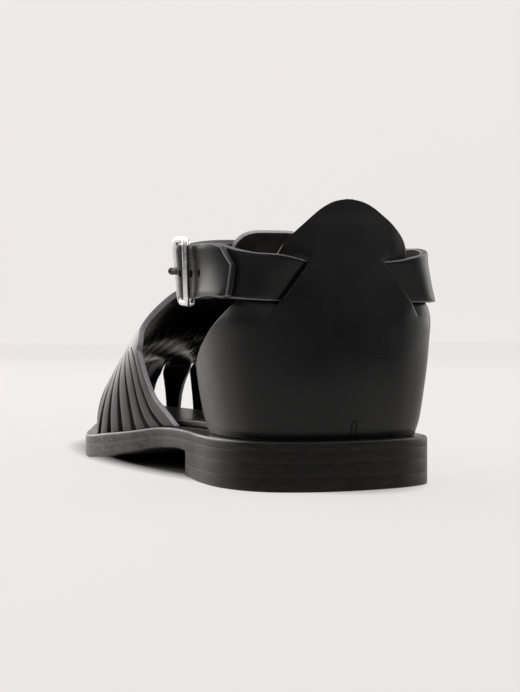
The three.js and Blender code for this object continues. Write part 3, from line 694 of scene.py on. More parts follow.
# Feather line of the vamp, from the lateral rear strip round the toe to the medial one, by its length.
FEATHER_STEPS = 240
feather = []
for i in range(FEATHER_STEPS + 1):
    way = turn_of(VAMP_START) + (i / FEATHER_STEPS) * (2 - 2 * turn_of(VAMP_START))
    spot = edge_point(way, vamp_inset)
    run = feather[-1][0] + (spot - feather[-1][1]).length if feather else 0.0
    feather.append((run, spot))


def feather_at(share):
    run = share * feather[-1][0]
    after = max(1, min(FEATHER_STEPS, bisect.bisect_left(feather, run, key=lambda row: row[0])))
    (run_a, spot_a), (run_b, spot_b) = feather[after - 1], feather[after]
    return spot_a.lerp(spot_b, (run - run_a) / (run_b - run_a))


RIB_FORWARD = 0.74
TOE_RIB_FORWARD = 1.5
RIB_ROUNDNESS = 2.25
STRAIGHT_FROM = 150.0
STRAIGHT_TO = 215.0


def rib_point(share, rise):
    """Point of a rib of the vamp: rise 0 at the sole, 1 where the slits stop, 2 at the throat or tongue."""
    side, sign = ("lateral", -1) if share < 0.5 else ("medial", 1)
    near_toe = 1 - abs(2 * share - 1)
    free = 1 if rise >= 1 else 0

    def end(name):
        return max(0.0, column(RIB_ENDS, "share", name, near_toe))

    def across(out, y):
        return ridge_at(y) + sign * out * half_width(side, y, free)

    def place(out, y):
        return Vector((across(out, y), y))

    slit_end = place(end("slit_out"), end("slit_y"))
    if rise >= 1:
        plan = slit_end.lerp(place(end("throat_out"), end("throat_y")), rise - 1)
    else:
        foot = feather_at(share)
        straightness = smoothstep(foot.y, STRAIGHT_FROM, STRAIGHT_TO)
        along = rise ** mix(RIB_FORWARD, TOE_RIB_FORWARD, straightness)
        y = mix(foot.y, slit_end.y, along)
        end_angle = math.asin(min(1.0, end("slit_out") ** (RIB_ROUNDNESS / 2)))
        angle = mix(math.pi / 2, end_angle, rise)
        hugging = across(math.sin(angle) ** (2 / RIB_ROUNDNESS), y)
        straight = mix(foot.x, slit_end.x, along)
        plan = Vector((mix(hugging, straight, straightness), y))
    lift = 0.0 if rise == 0 else last_height(plan.x, plan.y, free) - sole_top(plan.y)
    return Vector((plan.x, plan.y, sole_top(plan.y) + SEAT_GAP + lift))


# Strips spread wider round the toe than along the sides, and their gaps with them.
TOE_SPREAD = 0.17
STRIP_FILL = 0.64
TOE_GAP = 0.26
TOE_SHARPNESS = 4
SLIT_END_FILL = 0.88
TOE_END_FILL = 0.95
WEDGE_RISE = 0.62
TOE_WEDGE_DROP = 0.46
STRIP_COLUMNS = 6
GAP_COLUMNS = 2
STRIP_ROWS = 26
PANEL_ROWS = 26
DOME_FADE = 0.85


def spread(even):
    return even - TOE_SPREAD * math.sin(2 * math.pi * even) / (2 * math.pi)


def strip_share(strip, across, rise):
    """Place of a strip's point round the toe: across 0 and 1 are its two cut edges."""
    even = (strip + 0.5) / STRIP_COUNT
    at_toe = math.sin(math.pi * even) ** TOE_SHARPNESS
    wedge = WEDGE_RISE - TOE_WEDGE_DROP * at_toe
    end_fill = mix(SLIT_END_FILL, TOE_END_FILL, at_toe)
    fill = mix(STRIP_FILL - TOE_GAP * at_toe, end_fill, min(1.0, rise / wedge))
    near = 0.0 if strip == 0 else spread((strip + 0.5 - 0.5 * fill) / STRIP_COUNT)
    far = 1.0 if strip == STRIP_COUNT - 1 else spread((strip + 0.5 + 0.5 * fill) / STRIP_COUNT)
    if across < 0.5:
        return mix(near, spread(even), 2 * across)
    return mix(spread(even), far, 2 * across - 1)


def vamp_sheet():
    sheet = Sheet()
    strip_rises = [i / STRIP_ROWS for i in range(STRIP_ROWS + 1)]
    panel_rises = [1 + i / PANEL_ROWS for i in range(PANEL_ROWS + 1)]

    def on_strip(strip, i, rise):
        across = i / STRIP_COLUMNS
        swell = STRIP_DOME * (1 - (2 * across - 1) ** 2) * (1 - smoothstep(rise, DOME_FADE, 1))
        at_rear = strip == 0 and i == 0 or strip == STRIP_COUNT - 1 and i == STRIP_COLUMNS
        share = strip_share(strip, across, rise)
        made = sheet.corner(("strip", strip, i, rise), lambda: rib_point(share, rise), swell)
        if at_rear or rise == panel_rises[-1]:
            sheet.marked.add(made)
        return made

    def between(strip, i, rise):
        if i == 0:
            return on_strip(strip - 1, STRIP_COLUMNS, rise)
        if i == GAP_COLUMNS:
            return on_strip(strip, 0, rise)
        share = mix(strip_share(strip - 1, 1, rise), strip_share(strip, 0, rise), i / GAP_COLUMNS)
        made = sheet.corner(("between", strip, i, rise), lambda: rib_point(share, rise))
        if rise == panel_rises[-1]:
            sheet.marked.add(made)
        return made

    def cells(corner, strip, columns, rises):
        for i in range(columns):
            for low, high in zip(rises, rises[1:]):
                sheet.cells.append((corner(strip, i, low), corner(strip, i, high),
                                    corner(strip, i + 1, high), corner(strip, i + 1, low)))

    for strip in range(STRIP_COUNT):
        cells(on_strip, strip, STRIP_COLUMNS, strip_rises)
        cells(on_strip, strip, STRIP_COLUMNS, panel_rises)
        if strip > 0:
            cells(between, strip, GAP_COLUMNS, panel_rises)
    return sheet


# The vamp is greyer than the counter: a waxy bloom, and a painted sheen of the pale set on its strips.
WAXED_SHEEN_BLACK = (0.037, 0.0358, 0.036, 1)
WAXED_SHEEN_GREY = (0.068, 0.0658, 0.066, 1)
UPPER_RELIEF = 0.16
UPPER_PEBBLES = 1700.0
waxed_sheen_leather = grained_leather("waxed_vamp_leather_painted_sheen", WAXED_SHEEN_BLACK, WAXED_SHEEN_GREY, gloss=(0.32, 0.44),
                                relief=UPPER_RELIEF, pebble_scale=UPPER_PEBBLES, specular=0.2, sheen=0.1)

# Flesh side: the rough back of the same leather, brown black on the tongue with short fibres standing out
# of it, and rubbed smooth lower down, inside the vamp, where its near black is painted shade deep in the
# shoe.
SHADED_RUBBED_BELOW = 0.054
NAPPED_ABOVE = 0.062
NAP_SCALE = 2600.0
PATCH_SCALE = 160.0
NAP_RANGE = (0.12, 0.4)
NAP_DARK = (0.016, 0.0145, 0.0138, 1)
NAP_PALE = (0.05, 0.0455, 0.0435, 1)
SHADED_RUBBED_BLACK = (0.002, 0.002, 0.0021, 1)
FLESH_GLOSS = (0.2, 0.8)
FLESH_INDEX = 1.14
FLESH_RELIEF = (0.12, 0.7)
NAP_DEPTH = 0.00025
flesh_side, shader, wires = new_material("black_flesh_side")
place = wires.place()
height = wires.node("ShaderNodeSeparateXYZ", Vector=place).outputs["Z"]
nap = wires.noise(place, NAP_SCALE, Detail=5.0, Roughness=0.7)
tone = wires.math("MULTIPLY", nap, wires.noise(place, PATCH_SCALE, Detail=3.0))
# Painted shade: below these heights the flesh side is near black, as well as rubbed smooth.
napped_unshaded = wires.ramp(height, 0, 1, (SHADED_RUBBED_BELOW, NAPPED_ABOVE))
fibres = wires.blend(wires.ramp(tone, 0, 1, NAP_RANGE), NAP_DARK, NAP_PALE)
wires.feed(
    shader,
    Base_Color=wires.blend(napped_unshaded, SHADED_RUBBED_BLACK, fibres),
    Roughness=wires.ramp(napped_unshaded, *FLESH_GLOSS),
    IOR=FLESH_INDEX,
)
wires.bump(shader, nap, wires.ramp(napped_unshaded, *FLESH_RELIEF), NAP_DEPTH)

CUT_SCALE = 1500.0
CUT_RANGE = (0.35, 0.65)
CUT_GLOSS = (0.45, 0.7)
CUT_RELIEF = 0.5
CUT_DEPTH = 0.0002


def cut_look(name, deep, pale):
    """Cut edge of the leather, stained so thinly that its fibres still show."""
    material, shader, wires = new_material(name)
    fibres = wires.noise(wires.place(), CUT_SCALE, Detail=4.0, Roughness=0.65)
    tone = wires.ramp(fibres, 0, 1, CUT_RANGE)
    wires.feed(shader, Base_Color=wires.blend(tone, deep, pale), Roughness=wires.ramp(fibres, *CUT_GLOSS))
    wires.bump(shader, fibres, CUT_RELIEF, CUT_DEPTH)
    return material


dark_cut = cut_look("stained_cut_edge", deep=(0.007, 0.0067, 0.0085, 1), pale=(0.02, 0.019, 0.0235, 1))
pale_cut = cut_look("worn_cut_edge", deep=(0.19, 0.18, 0.2, 1), pale=(0.33, 0.315, 0.345, 1))
# Painted highlight: pale rounded corners of the counter's and strap's cut edges, where they catch the light.
painted_edge_highlight = cut_look("painted_edge_highlight", deep=(0.08, 0.077, 0.083, 1), pale=(0.17, 0.163, 0.173, 1))
VAMP_LOOKS = [waxed_sheen_leather, flesh_side, dark_cut, pale_cut]
vamp = leather("vamp_strips_and_tongue", vamp_sheet(), VAMP_WALL, 0.0, VAMP_LOOKS)
fix(vamp, "upper_leather", "vamp")

# Heel counter.
# A high cup of thick black leather round the heel, ending above in a round tab. Two slanted slits let
# the ankle strap pass to its inside, and a short dart at the back draws its lower edge in.
BACK_SEAM_OFFSET = 7.5
HEEL_STEPS = 70
HEEL_WAY = 0.5
FACING_STEP = 0.5

# Counter by height: half its width round the heel, the shift of its middle, and its flare at side and back.
COUNTER = table(
    "z reach tilt side back",
    (14.9, 61, 0, -0.6, -0.6),
    (20, 62, 0, 1, 0.8),
    (30, 63, 0, 2.7, 1.6),
    (37, 61, 0, 3.7, 1.6),
    (44, 49, 0, 4.4, 1.2),
    (50, 38, 0, 4.8, 0.6),
    (55, 31.5, 0, 3.6, -0.1),
    (60, 27, 0.4, 1.8, -0.8),
    (66, 24, 1.4, 0.6, -1.8),
    (70, 23.4, 3.1, 0.5, -2.6),
    (74, 21, 4.2, 0.6, -3.4),
    (78, 16.6, 4.8, 0.2, -4.2),
    (81, 12.4, 4.9, 0, -5),
    (83, 9.2, 4.9, 0, -5.4),
    (84.6, 5.2, 4.9, 0, -5.7),
    (85.3, 1.2, 4.9, 0, -5.8),
)


def rim_inset(y):
    return side_view("rim", y)


heel_rows = []
for i in range(HEEL_STEPS, -HEEL_STEPS - 1, -1):
    spot = edge_point((HEEL_WAY * i / HEEL_STEPS + 2) % 2, rim_inset)
    step = (spot - heel_rows[-1][1]).length if heel_rows else 0.0
    heel_rows.append(((heel_rows[-1][0] if heel_rows else 0.0) + step, spot))
back_run = heel_rows[HEEL_STEPS][0] + BACK_SEAM_OFFSET
heel_curve = [dict(run=run - back_run, x=spot.x, y=spot.y) for run, spot in heel_rows]


def counter_value(name, z):
    return column(COUNTER, "z", name, z)


def heel_point(round_heel, z, outwards):
    """Point of the heel cup at a length round from the back (lateral below zero), set outwards."""
    def at(run):
        return Vector((column(heel_curve, "run", "x", run), column(heel_curve, "run", "y", run)))

    along = (at(round_heel + FACING_STEP) - at(round_heel - FACING_STEP)).normalized()
    facing = Vector((along.y, -along.x))
    flare = counter_value("side", z) * facing.x ** 2 + counter_value("back", z) * facing.y ** 2
    plan = at(round_heel) + facing * (flare + outwards)
    return Vector((plan.x, plan.y, z))


# The two slanted slits. Ahead of each the wing's lip is pressed in, and behind it the flap's lip is raised,
# so that the strap can pass from the outside to the inside of the counter's middle.
SLIT_TOP = Vector((11.3, 69.0))
SLIT_FOOT = Vector((25.0, 50.4))
SLIT_SHIFT = 2.2
LIP_LENGTH = 13.0
WING_DROP = 3.7
FLAP_LIFT = 0.9
SLIT_TOP_TAPER = 0.45
SLIT_FOOT_TAPER = 0.3


def slit_place(round_heel, z):
    """How far a point is ahead of the nearer slit, and how far down along it."""
    run = SLIT_FOOT - SLIT_TOP
    start = Vector((abs(round_heel - SLIT_SHIFT), z)) - SLIT_TOP
    ahead = (start.x * -run.y + start.y * run.x) / run.length
    return ahead, start.dot(run) / run.length_squared


def lip_fade(round_heel, z):
    return max(0.0, 1 - abs(slit_place(round_heel, z)[0]) / LIP_LENGTH) ** 2


def lip_shift(round_heel, z, on_wing):
    share = slit_place(round_heel, z)[1]
    opening = smoothstep(share, 0, SLIT_TOP_TAPER) * (1 - smoothstep(share, 1 - SLIT_FOOT_TAPER, 1))
    return (-WING_DROP if on_wing else FLAP_LIFT) * lip_fade(round_heel, z) * opening


CENTRE_COLUMNS = 60
WING_COLUMNS = 24
BELOW_SLIT_ROWS = 26
SLIT_ROWS = 26
TAB_ROWS = 26
WING_SIGNS = {"lateral": -1, "medial": 1}


def counter_sheet():
    sheet = Sheet()
    bottom, top = COUNTER[0]["z"], COUNTER[-1]["z"]
    heights = [mix(bottom, SLIT_FOOT.y, i / BELOW_SLIT_ROWS) for i in range(BELOW_SLIT_ROWS)]
    heights += [mix(SLIT_FOOT.y, SLIT_TOP.y, i / SLIT_ROWS) for i in range(SLIT_ROWS)]
    heights += [mix(SLIT_TOP.y, top, math.sin(0.5 * math.pi * i / TAB_ROWS)) for i in range(TAB_ROWS + 1)]

    def edge(wing, z):
        return counter_value("tilt", z) + WING_SIGNS[wing] * counter_value("reach", z)

    def slit(wing, z):
        level = clamp(z, SLIT_FOOT.y, SLIT_TOP.y)
        down = (SLIT_TOP.y - level) / (SLIT_TOP.y - SLIT_FOOT.y)
        round_heel = SLIT_SHIFT + WING_SIGNS[wing] * mix(SLIT_TOP.x, SLIT_FOOT.x, down)
        narrowing = counter_value("reach", z) / counter_value("reach", level)
        return counter_value("tilt", z) + (round_heel - counter_value("tilt", level)) * narrowing

    def place(round_heel, z, on_wing):
        return lambda: heel_point(round_heel, z, lip_shift(round_heel, z, on_wing))

    def on_slit(wing, z, on_wing):
        is_open = SLIT_FOOT.y < z < SLIT_TOP.y
        return sheet.corner((wing, "slit", z, is_open and on_wing), place(slit(wing, z), z, on_wing))

    def centre(i, z):
        if i in (0, CENTRE_COLUMNS):
            return on_slit("lateral" if i == 0 else "medial", z, False)
        round_heel = mix(slit("lateral", z), slit("medial", z), i / CENTRE_COLUMNS)
        return sheet.corner(("centre", i, z), place(round_heel, z, False))

    def wing_corner(wing, i, z):
        if i == 0:
            return on_slit(wing, z, True)
        round_heel = mix(slit(wing, z), edge(wing, z), i / WING_COLUMNS)
        return sheet.corner((wing, i, z), place(round_heel, z, True))

    def cells(corner, start, stop):
        for low, high in zip(heights, heights[1:]):
            sheet.cells.append((corner(start, low), corner(stop, low),
                                corner(stop, high), corner(start, high)))

    for i in range(CENTRE_COLUMNS):
        cells(centre, i, i + 1)
    for i in range(WING_COLUMNS):
        cells(partial(wing_corner, "lateral"), i + 1, i)
        cells(partial(wing_corner, "medial"), i, i + 1)
    return sheet


# Bent wire: the lines of a piece become round bars with rounded corners.
CORNER_STEPS = 8
WIRE_SIDES = 20
WIRE_CRISP_ANGLE = 50
wire_tree = bpy.data.node_groups.new("bent_wire", "GeometryNodeTree")


def wire_input(name, kind):
    return wire_tree.interface.new_socket(name, in_out="INPUT", socket_type=kind)


wire_input("Lines", "NodeSocketGeometry")
radius_in = wire_input("Wire Radius", "NodeSocketFloat")
corner_in = wire_input("Corner Rounding", "NodeSocketFloat")
stuff_in = wire_input("Stuff", "NodeSocketMaterial")
wire_tree.interface.new_socket("Wire", in_out="OUTPUT", socket_type="NodeSocketGeometry")
wires = Wiring(wire_tree)
given = wires.node("NodeGroupInput")
path = wires.node("GeometryNodeMeshToCurve", Mesh=given.outputs["Lines"])
bent = wires.node("GeometryNodeFilletCurve", {"mode": "POLY"}, Curve=path.outputs[0], Count=CORNER_STEPS,
                  Radius=given.outputs["Corner Rounding"], Limit_Radius=True)
section = wires.node("GeometryNodeCurvePrimitiveCircle", Radius=given.outputs["Wire Radius"],
                     Resolution=WIRE_SIDES)
bars = wires.node("GeometryNodeCurveToMesh", Curve=bent.outputs[0], Profile_Curve=section.outputs[0],
                  Fill_Caps=True)
real = wires.node("GeometryNodeRealizeInstances", Geometry=bars.outputs[0])
dressed = wires.node("GeometryNodeSetMaterial", Geometry=real.outputs[0], Material=given.outputs["Stuff"])
wires.node("NodeGroupOutput", Wire=dressed.outputs[0])


def bent_wire(name, points, edges, radius, rounding, material):
    """Piece of wire along lines between points."""
    piece = make_piece(name, points, [], edges=edges)
    modifier = piece.modifiers.new("wire", "NODES")
    modifier.node_group = wire_tree
    modifier[radius_in.identifier] = radius * MM
    modifier[corner_in.identifier] = rounding * MM
    modifier[stuff_in.identifier] = material
    settle(piece, WIRE_CRISP_ANGLE)
    return piece


def cut_away(piece, cutter):
    """Takes the form of a cutter out of a piece. The cut shows the cutter's material."""
    cut = piece.modifiers.new("cut", "BOOLEAN")
    cut.operation = "DIFFERENCE"
    cut.solver = "EXACT"
    cut.material_mode = "TRANSFER"
    cut.object = cutter
    settle(piece)
    bpy.data.objects.remove(cutter)


LEATHER_BLACK = (0.004, 0.004, 0.0042, 1)
LEATHER_GREY = (0.0075, 0.0075, 0.0078, 1)
smooth_leather = grained_leather("black_upper_leather", LEATHER_BLACK, LEATHER_GREY, gloss=(0.24, 0.36),
                                 relief=UPPER_RELIEF, pebble_scale=UPPER_PEBBLES, specular=0.22)
UPPER_LOOKS = [smooth_leather, flesh_side, dark_cut, painted_edge_highlight]
counter = leather("heel_counter", counter_sheet(), COUNTER_WALL / 2, COUNTER_WALL / 2, UPPER_LOOKS,
                  corner_look=EDGE_WEAR_AND_HIGHLIGHT)

# The dart is a narrow arched cut, closed up in the lower edge at the back.
DART_MIDDLE = 2.2
DART_HALF_WIDTH = 0.8
DART_FOOT = 16.4
DART_TOP = 20.2
DART_RADIUS = 0.3
DART_ROUNDING = 0.78
dart_left = DART_MIDDLE - DART_HALF_WIDTH
dart_right = DART_MIDDLE + DART_HALF_WIDTH
dart_corners = [(dart_left, DART_FOOT), (dart_left, DART_TOP)]
dart_corners += [(dart_right, DART_TOP), (dart_right, DART_FOOT)]
dart_way = [heel_point(round_heel, z, COUNTER_WALL / 2) for round_heel, z in dart_corners]
dart = bent_wire("dart", dart_way, [(0, 1), (1, 2), (2, 3)], DART_RADIUS, DART_ROUNDING, smooth_leather)
cut_away(counter, dart)
fix(counter, "upper_leather", "counter")

# Ankle strap.
# One long strip of black leather: its folded end holds the buckle on the lateral side, it goes through
# the counter's slits and round the instep over the tongue, and its punched free end is the tail.
STRAP_WIDTH = 16.4
STRAP_THICKNESS = 2.2
STRAP_CLEARANCE = 3.8 * SEAT_GAP
STRAP_STANDOFF = COUNTER_WALL / 2 + STRAP_THICKNESS / 2 + STRAP_CLEARANCE
SLIT_DEPTH = 1.4

# Strap by its place along the foot: the height of its middle, and its width.
STRAP = table(
    "y middle width",
    (3, 60.4, 12.4),
    (12, 61.2, 13),
    (20, 64, 15.2),
    (28, 65, 16.2),
    (40, 65.4, STRAP_WIDTH),
    (75, 66.6, STRAP_WIDTH),
    (101, 67.8, STRAP_WIDTH),
)
LOOP_FRONT_Y = 111.0
LOOP_FRONT_Z = 71.2
LOOP_HALF_WIDTH = 33.8
LOOP_MIDDLE_X = 0.8
LOOP_FRONT_SHIFT = 12.0
LATERAL_LEAN = -0.1
MEDIAL_LEAN = 0.16
FRONT_TILT = 0.93
FRONT_SQUARENESS = 0.8
STRAP_LEVEL = 60.0
CLIMB_FROM = 0.15
CLIMB_TO = 0.85
BULGE_FROM = 22.0
BULGE_TO = 66.0

# Ahead of the lateral slit the strap is a little higher and wider, under the pull of the buckle. It sags
# past the medial one, and a little at the buckle.
PULL = dict(start=8, full=22, fading=27, stop=36, lift=1.5, widening=1.0)
MEDIAL_SAG = dict(start=24, stop=36, drop=1.5)
LATERAL_SAG = dict(start=36, stop=50, drop=1.0)


def pull(round_heel):
    rising = smoothstep(-round_heel, PULL["start"], PULL["full"])
    return rising * (1 - smoothstep(-round_heel, PULL["fading"], PULL["stop"]))


def sag(round_heel):
    side = LATERAL_SAG if round_heel < 0 else MEDIAL_SAG
    return side["drop"] * smoothstep(abs(round_heel), side["start"], side["stop"])


def lean_on(side):
    return LATERAL_LEAN if side < 0 else MEDIAL_LEAN


def strap_round(round_heel, high, outwards):
    """Point of the strap round the heel: outside the counter's wings, inside its middle."""
    y = heel_point(round_heel, STRAP_LEVEL, 0).y
    middle = column(STRAP, "y", "middle", y) + PULL["lift"] * pull(round_heel) - sag(round_heel)
    z = middle + high * (column(STRAP, "y", "width", y) + PULL["widening"] * pull(round_heel))
    on_wing = slit_place(round_heel, z)[0] > 0
    fade = lip_fade(round_heel, z)
    side = mix(STRAP_STANDOFF, -SLIT_DEPTH, fade) if on_wing else -mix(STRAP_STANDOFF, SLIT_DEPTH, fade)
    swing = smoothstep(abs(round_heel), BULGE_FROM, BULGE_TO)
    cup_side = heel_point(math.copysign(BULGE_TO, round_heel), z, STRAP_STANDOFF).x
    reach = LOOP_HALF_WIDTH - abs(cup_side - LOOP_MIDDLE_X)
    lean = -high * STRAP_WIDTH * lean_on(round_heel)
    return heel_point(round_heel, z, side + swing * (reach + lean) + outwards)


def strap_front(sign, turn, high, outwards):
    """Point of the strap over the instep, from either side (turn 0) to the front (turn 1)."""
    side = strap_round(sign * BULGE_TO, 0, 0)
    cos, sin = math.cos(turn * math.pi / 2), math.sin(turn * math.pi / 2)
    climb = smoothstep(turn, CLIMB_FROM, CLIMB_TO)
    tilt = mix(lean_on(sign), FRONT_TILT, climb)
    front = Vector((LOOP_MIDDLE_X + LOOP_FRONT_SHIFT, LOOP_FRONT_Y))
    radii = Vector((side.x - front.x, front.y - side.y))
    facing = Vector((cos / radii.x, sin / radii.y)).normalized()
    squareness = FRONT_SQUARENESS if sign > 0 else 1.0
    across, ahead = max(0.0, cos) ** squareness, max(0.0, sin) ** squareness
    plan = Vector((front.x + radii.x * across, side.y + radii.y * ahead))
    plan += facing * (outwards - high * STRAP_WIDTH * math.sin(tilt))
    return Vector((plan.x, plan.y, mix(side.z, LOOP_FRONT_Z, climb) + high * STRAP_WIDTH * math.cos(tilt)))


# Buckle bars by their place round the heel and how far out of the strap they lie, and how far the tail is
# raised over the folded end there.
BAR_RADIUS = 1.0
CENTRE_BAR = dict(round_heel=-59.0, out=2.4)
REAR_BAR = dict(round_heel=-51.5, out=5.2)
FRONT_BAR = dict(round_heel=-67.0, out=4.4)
TAIL_RAISE = table(
    "at lift",
    (-70, 1.2),
    (-67, 1.8),
    (-63, 3.6),
    (-59, 4.8),
    (-55, 3.7),
    (-51.5, 2.7),
    (-47, 2.5),
    (-26, 2.5),
)
FOLDED_END = -62.5
TAIL_TIP = -30.0
TIP_LENGTH = 4.6
TIP_CUT = 0.34
TIP_CURVE = 0.06
TIP_SQUARENESS = 4
TAIL_CLIMB_END = 0.4
STRAP_COLUMNS = 8
ROUND_STEPS = 170
FRONT_STEPS = 40
TAIL_STEPS = 56
TIP_STEPS = 14


def tail_raise(round_heel):
    return column(TAIL_RAISE, "at", "lift", round_heel)


def strap_sheet():
    stations = []

    def evenly(start, stop, steps, place):
        for i in range(steps):
            value = mix(start, stop, i / steps)
            stations.append(lambda high, value=value: place(value, high))

    def climb(turn):
        return TAIL_RAISE[0]["lift"] * (1 - smoothstep(turn, 0, TAIL_CLIMB_END))

    def tip(share, high):
        round_heel = TAIL_TIP - TIP_LENGTH * (1 - share)
        low = -0.5 + TIP_CURVE * share ** TIP_SQUARENESS
        return strap_round(round_heel, mix(low, 0.5 - TIP_CUT * share, high + 0.5), tail_raise(round_heel))

    evenly(FOLDED_END, BULGE_TO, ROUND_STEPS, lambda at, high: strap_round(at, high, 0))
    evenly(0, 1, FRONT_STEPS, lambda turn, high: strap_front(1, turn, high, 0))
    evenly(1, 0, FRONT_STEPS, lambda turn, high: strap_front(-1, turn, high, climb(turn)))
    evenly(-BULGE_TO, TAIL_TIP - TIP_LENGTH, TAIL_STEPS,
           lambda at, high: strap_round(at, high, tail_raise(at)))
    evenly(0, 1, TIP_STEPS, tip)
    sheet = Sheet()

    def corner(i, k):
        return sheet.corner((i, k), lambda: stations[i](k / STRAP_COLUMNS - 0.5))

    for i in range(len(stations) - 1):
        for k in range(STRAP_COLUMNS):
            sheet.cells.append((corner(i, k), corner(i + 1, k), corner(i + 1, k + 1), corner(i, k + 1)))
    return sheet


strap = leather("ankle_strap_leather", strap_sheet(), STRAP_THICKNESS / 2, STRAP_THICKNESS / 2, UPPER_LOOKS,
                level=False, corner_look=EDGE_WEAR_AND_HIGHLIGHT)

# The tail has a row of punched holes, and the buckle's prong comes up through the first one.
HOLE_RADIUS = 1.2
HOLE_HIGH = -0.04
HOLES = (-57.8, -51.8, -45.8)
PUNCH_INSIDE = STRAP_THICKNESS / 2 + 0.15
PUNCH_OUTSIDE = STRAP_THICKNESS / 2 + 1.5
for round_heel in HOLES:
    raised = tail_raise(round_heel)
    punch = [strap_round(round_heel, HOLE_HIGH, raised + out) for out in (-PUNCH_INSIDE, PUNCH_OUTSIDE)]
    cut_away(strap, bent_wire("punch", punch, [(0, 1)], HOLE_RADIUS, 0.0, dark_cut))

PRONG_RADIUS = 0.8
PRONG_REST = FRONT_BAR["out"] + BAR_RADIUS + SEAT_GAP + PRONG_RADIUS
PRONG_OVERHANG = 0.004
PRONG_ROUNDING = 2.2
PRONG_ROOT_LIFT = 0.4
PRONG_BEND_RUN = 3.4
PRONG_BEND_DROP = 1.5


def bar_place(bar, high):
    return strap_round(bar["round_heel"], high, bar["out"])


PRONG_ROOT = dict(round_heel=CENTRE_BAR["round_heel"] - BAR_RADIUS - SEAT_GAP,
                  out=CENTRE_BAR["out"] + PRONG_ROOT_LIFT)
PRONG_BEND = dict(round_heel=FRONT_BAR["round_heel"] + PRONG_BEND_RUN, out=PRONG_REST - PRONG_BEND_DROP)
prong_way = [
    bar_place(PRONG_ROOT, 0),
    bar_place(PRONG_BEND, 0),
    bar_place(dict(round_heel=FRONT_BAR["round_heel"], out=PRONG_REST), 0),
    strap_front(-1, PRONG_OVERHANG, 0, PRONG_REST),
]
prong_edges = [(0, 1), (1, 2), (2, 3)]
prong_room = PRONG_RADIUS + SEAT_GAP
cut_away(strap, bent_wire("prong_hole", prong_way, prong_edges, prong_room, PRONG_ROUNDING, dark_cut))
fix(strap, "upper_leather", "ankle_strap")

# Buckle.
# A small polished steel frame with a centre bar, held in the strap's folded end, and a prong that turns
# on the centre bar, comes up through the tail's hole and rests on the front bar.
RAIL_CLEARANCE = 0.5
RAIL_HIGH = 0.5 + (BAR_RADIUS + RAIL_CLEARANCE) / STRAP_WIDTH
CORNER_ROUNDING = 2.2
STEEL_DULL = (0.82, 0.8, 0.77, 1)
STEEL_BRIGHT = (0.9, 0.89, 0.87, 1)
STEEL_WEAR = (0.3, 0.7)
STEEL_GLOSS = (0.16, 0.3)
WEAR_SCALE = 900.0
polished_steel, shader, wires = new_material("polished_steel")
wear = wires.noise(wires.place(), WEAR_SCALE, Detail=5.0, Roughness=0.65)
wires.feed(
    shader,
    Base_Color=wires.blend(wear, STEEL_DULL, STEEL_BRIGHT),
    Roughness=wires.ramp(wear, *STEEL_GLOSS, over=STEEL_WEAR),
    Metallic=1.0,
)

loop = [bar_place(bar, -RAIL_HIGH) for bar in (FRONT_BAR, CENTRE_BAR, REAR_BAR)]
loop += [bar_place(bar, RAIL_HIGH) for bar in (REAR_BAR, CENTRE_BAR, FRONT_BAR)]
loop_edges = [(i, (i + 1) % len(loop)) for i in range(len(loop))]
centre = [bar_place(CENTRE_BAR, -RAIL_HIGH), bar_place(CENTRE_BAR, RAIL_HIGH)]
buckle = bent_wire("buckle_frame_wire", loop + centre, loop_edges + [(len(loop), len(loop) + 1)],
                   BAR_RADIUS, CORNER_ROUNDING, polished_steel)
fix(buckle, "buckle_metal", "buckle_frame")

prong = bent_wire("buckle_prong_wire", prong_way, prong_edges, PRONG_RADIUS, PRONG_ROUNDING, polished_steel)
fix(prong, "buckle_metal", "buckle_prong")

# Set.
# A seamless sweep of pale paper carries the shoe. Large soft lamps stand above it, beyond the toe on the
# left, on the right, and over the backdrop.
FLOOR_DROP = 0.0001
SWEEP_LEFT = -1.4
SWEEP_RIGHT = 5.0
SWEEP_FRONT = -4.0
SWEEP_BACK = 2.4
SWEEP_RADIUS = 1.2
SWEEP_TOP = 4.0
SWEEP_STEPS = 16

# The paper glows, lit from below, but fades out round the shoe: a painted shadow under the sole and arch.
FLOOR_GLOW = 0.715
WALL_FOOT_GLOW = 0.765
WALL_FOOT_HEIGHT = 0.01
WALL_GLOW_RISE = 0.035
WALL_GLOW_HEIGHT = 0.8
PAINTED_SHADOW_MIDDLE = (0.004, 0.1, 0.0)
PAINTED_SHADOW_RADII = (0.0435, 0.135, 1.0)
SHADE_FROM = 0.82
SHADE_TO = 1.08

PAPER_GREY = (0.07, 0.068, 0.067, 1)
PAPER_GLOW = (1.0, 0.957, 0.932, 1)
PAPER_ROUGHNESS = 0.9
PAPER_SPECULAR = 0.1
paper, shader, wires = new_material("pale_paper")
place = wires.place()
# Painted shadow: the glow goes to nothing inside an ellipse round the shoe, softly at its edge.
off_shoe = wires.vector("SUBTRACT", place, PAINTED_SHADOW_MIDDLE)
reach = wires.vector("LENGTH", wires.vector("DIVIDE", off_shoe, PAINTED_SHADOW_RADII))
outside_painted_shadow = wires.ramp(reach, 0, 1, (SHADE_FROM, SHADE_TO))
height = wires.node("ShaderNodeSeparateXYZ", Vector=place).outputs["Z"]
foot_glow = wires.ramp(height, FLOOR_GLOW, WALL_FOOT_GLOW, (0.0, WALL_FOOT_HEIGHT))
glow = wires.math("ADD", foot_glow, wires.ramp(height, 0.0, WALL_GLOW_RISE, (0.0, WALL_GLOW_HEIGHT)))
wires.feed(
    shader,
    Base_Color=PAPER_GREY,
    Roughness=PAPER_ROUGHNESS,
    Specular_IOR_Level=PAPER_SPECULAR,
    Emission_Color=PAPER_GLOW,
    Emission_Strength=wires.math("MULTIPLY", glow, outside_painted_shadow),
)
profile = [(SWEEP_FRONT, 0.0)]
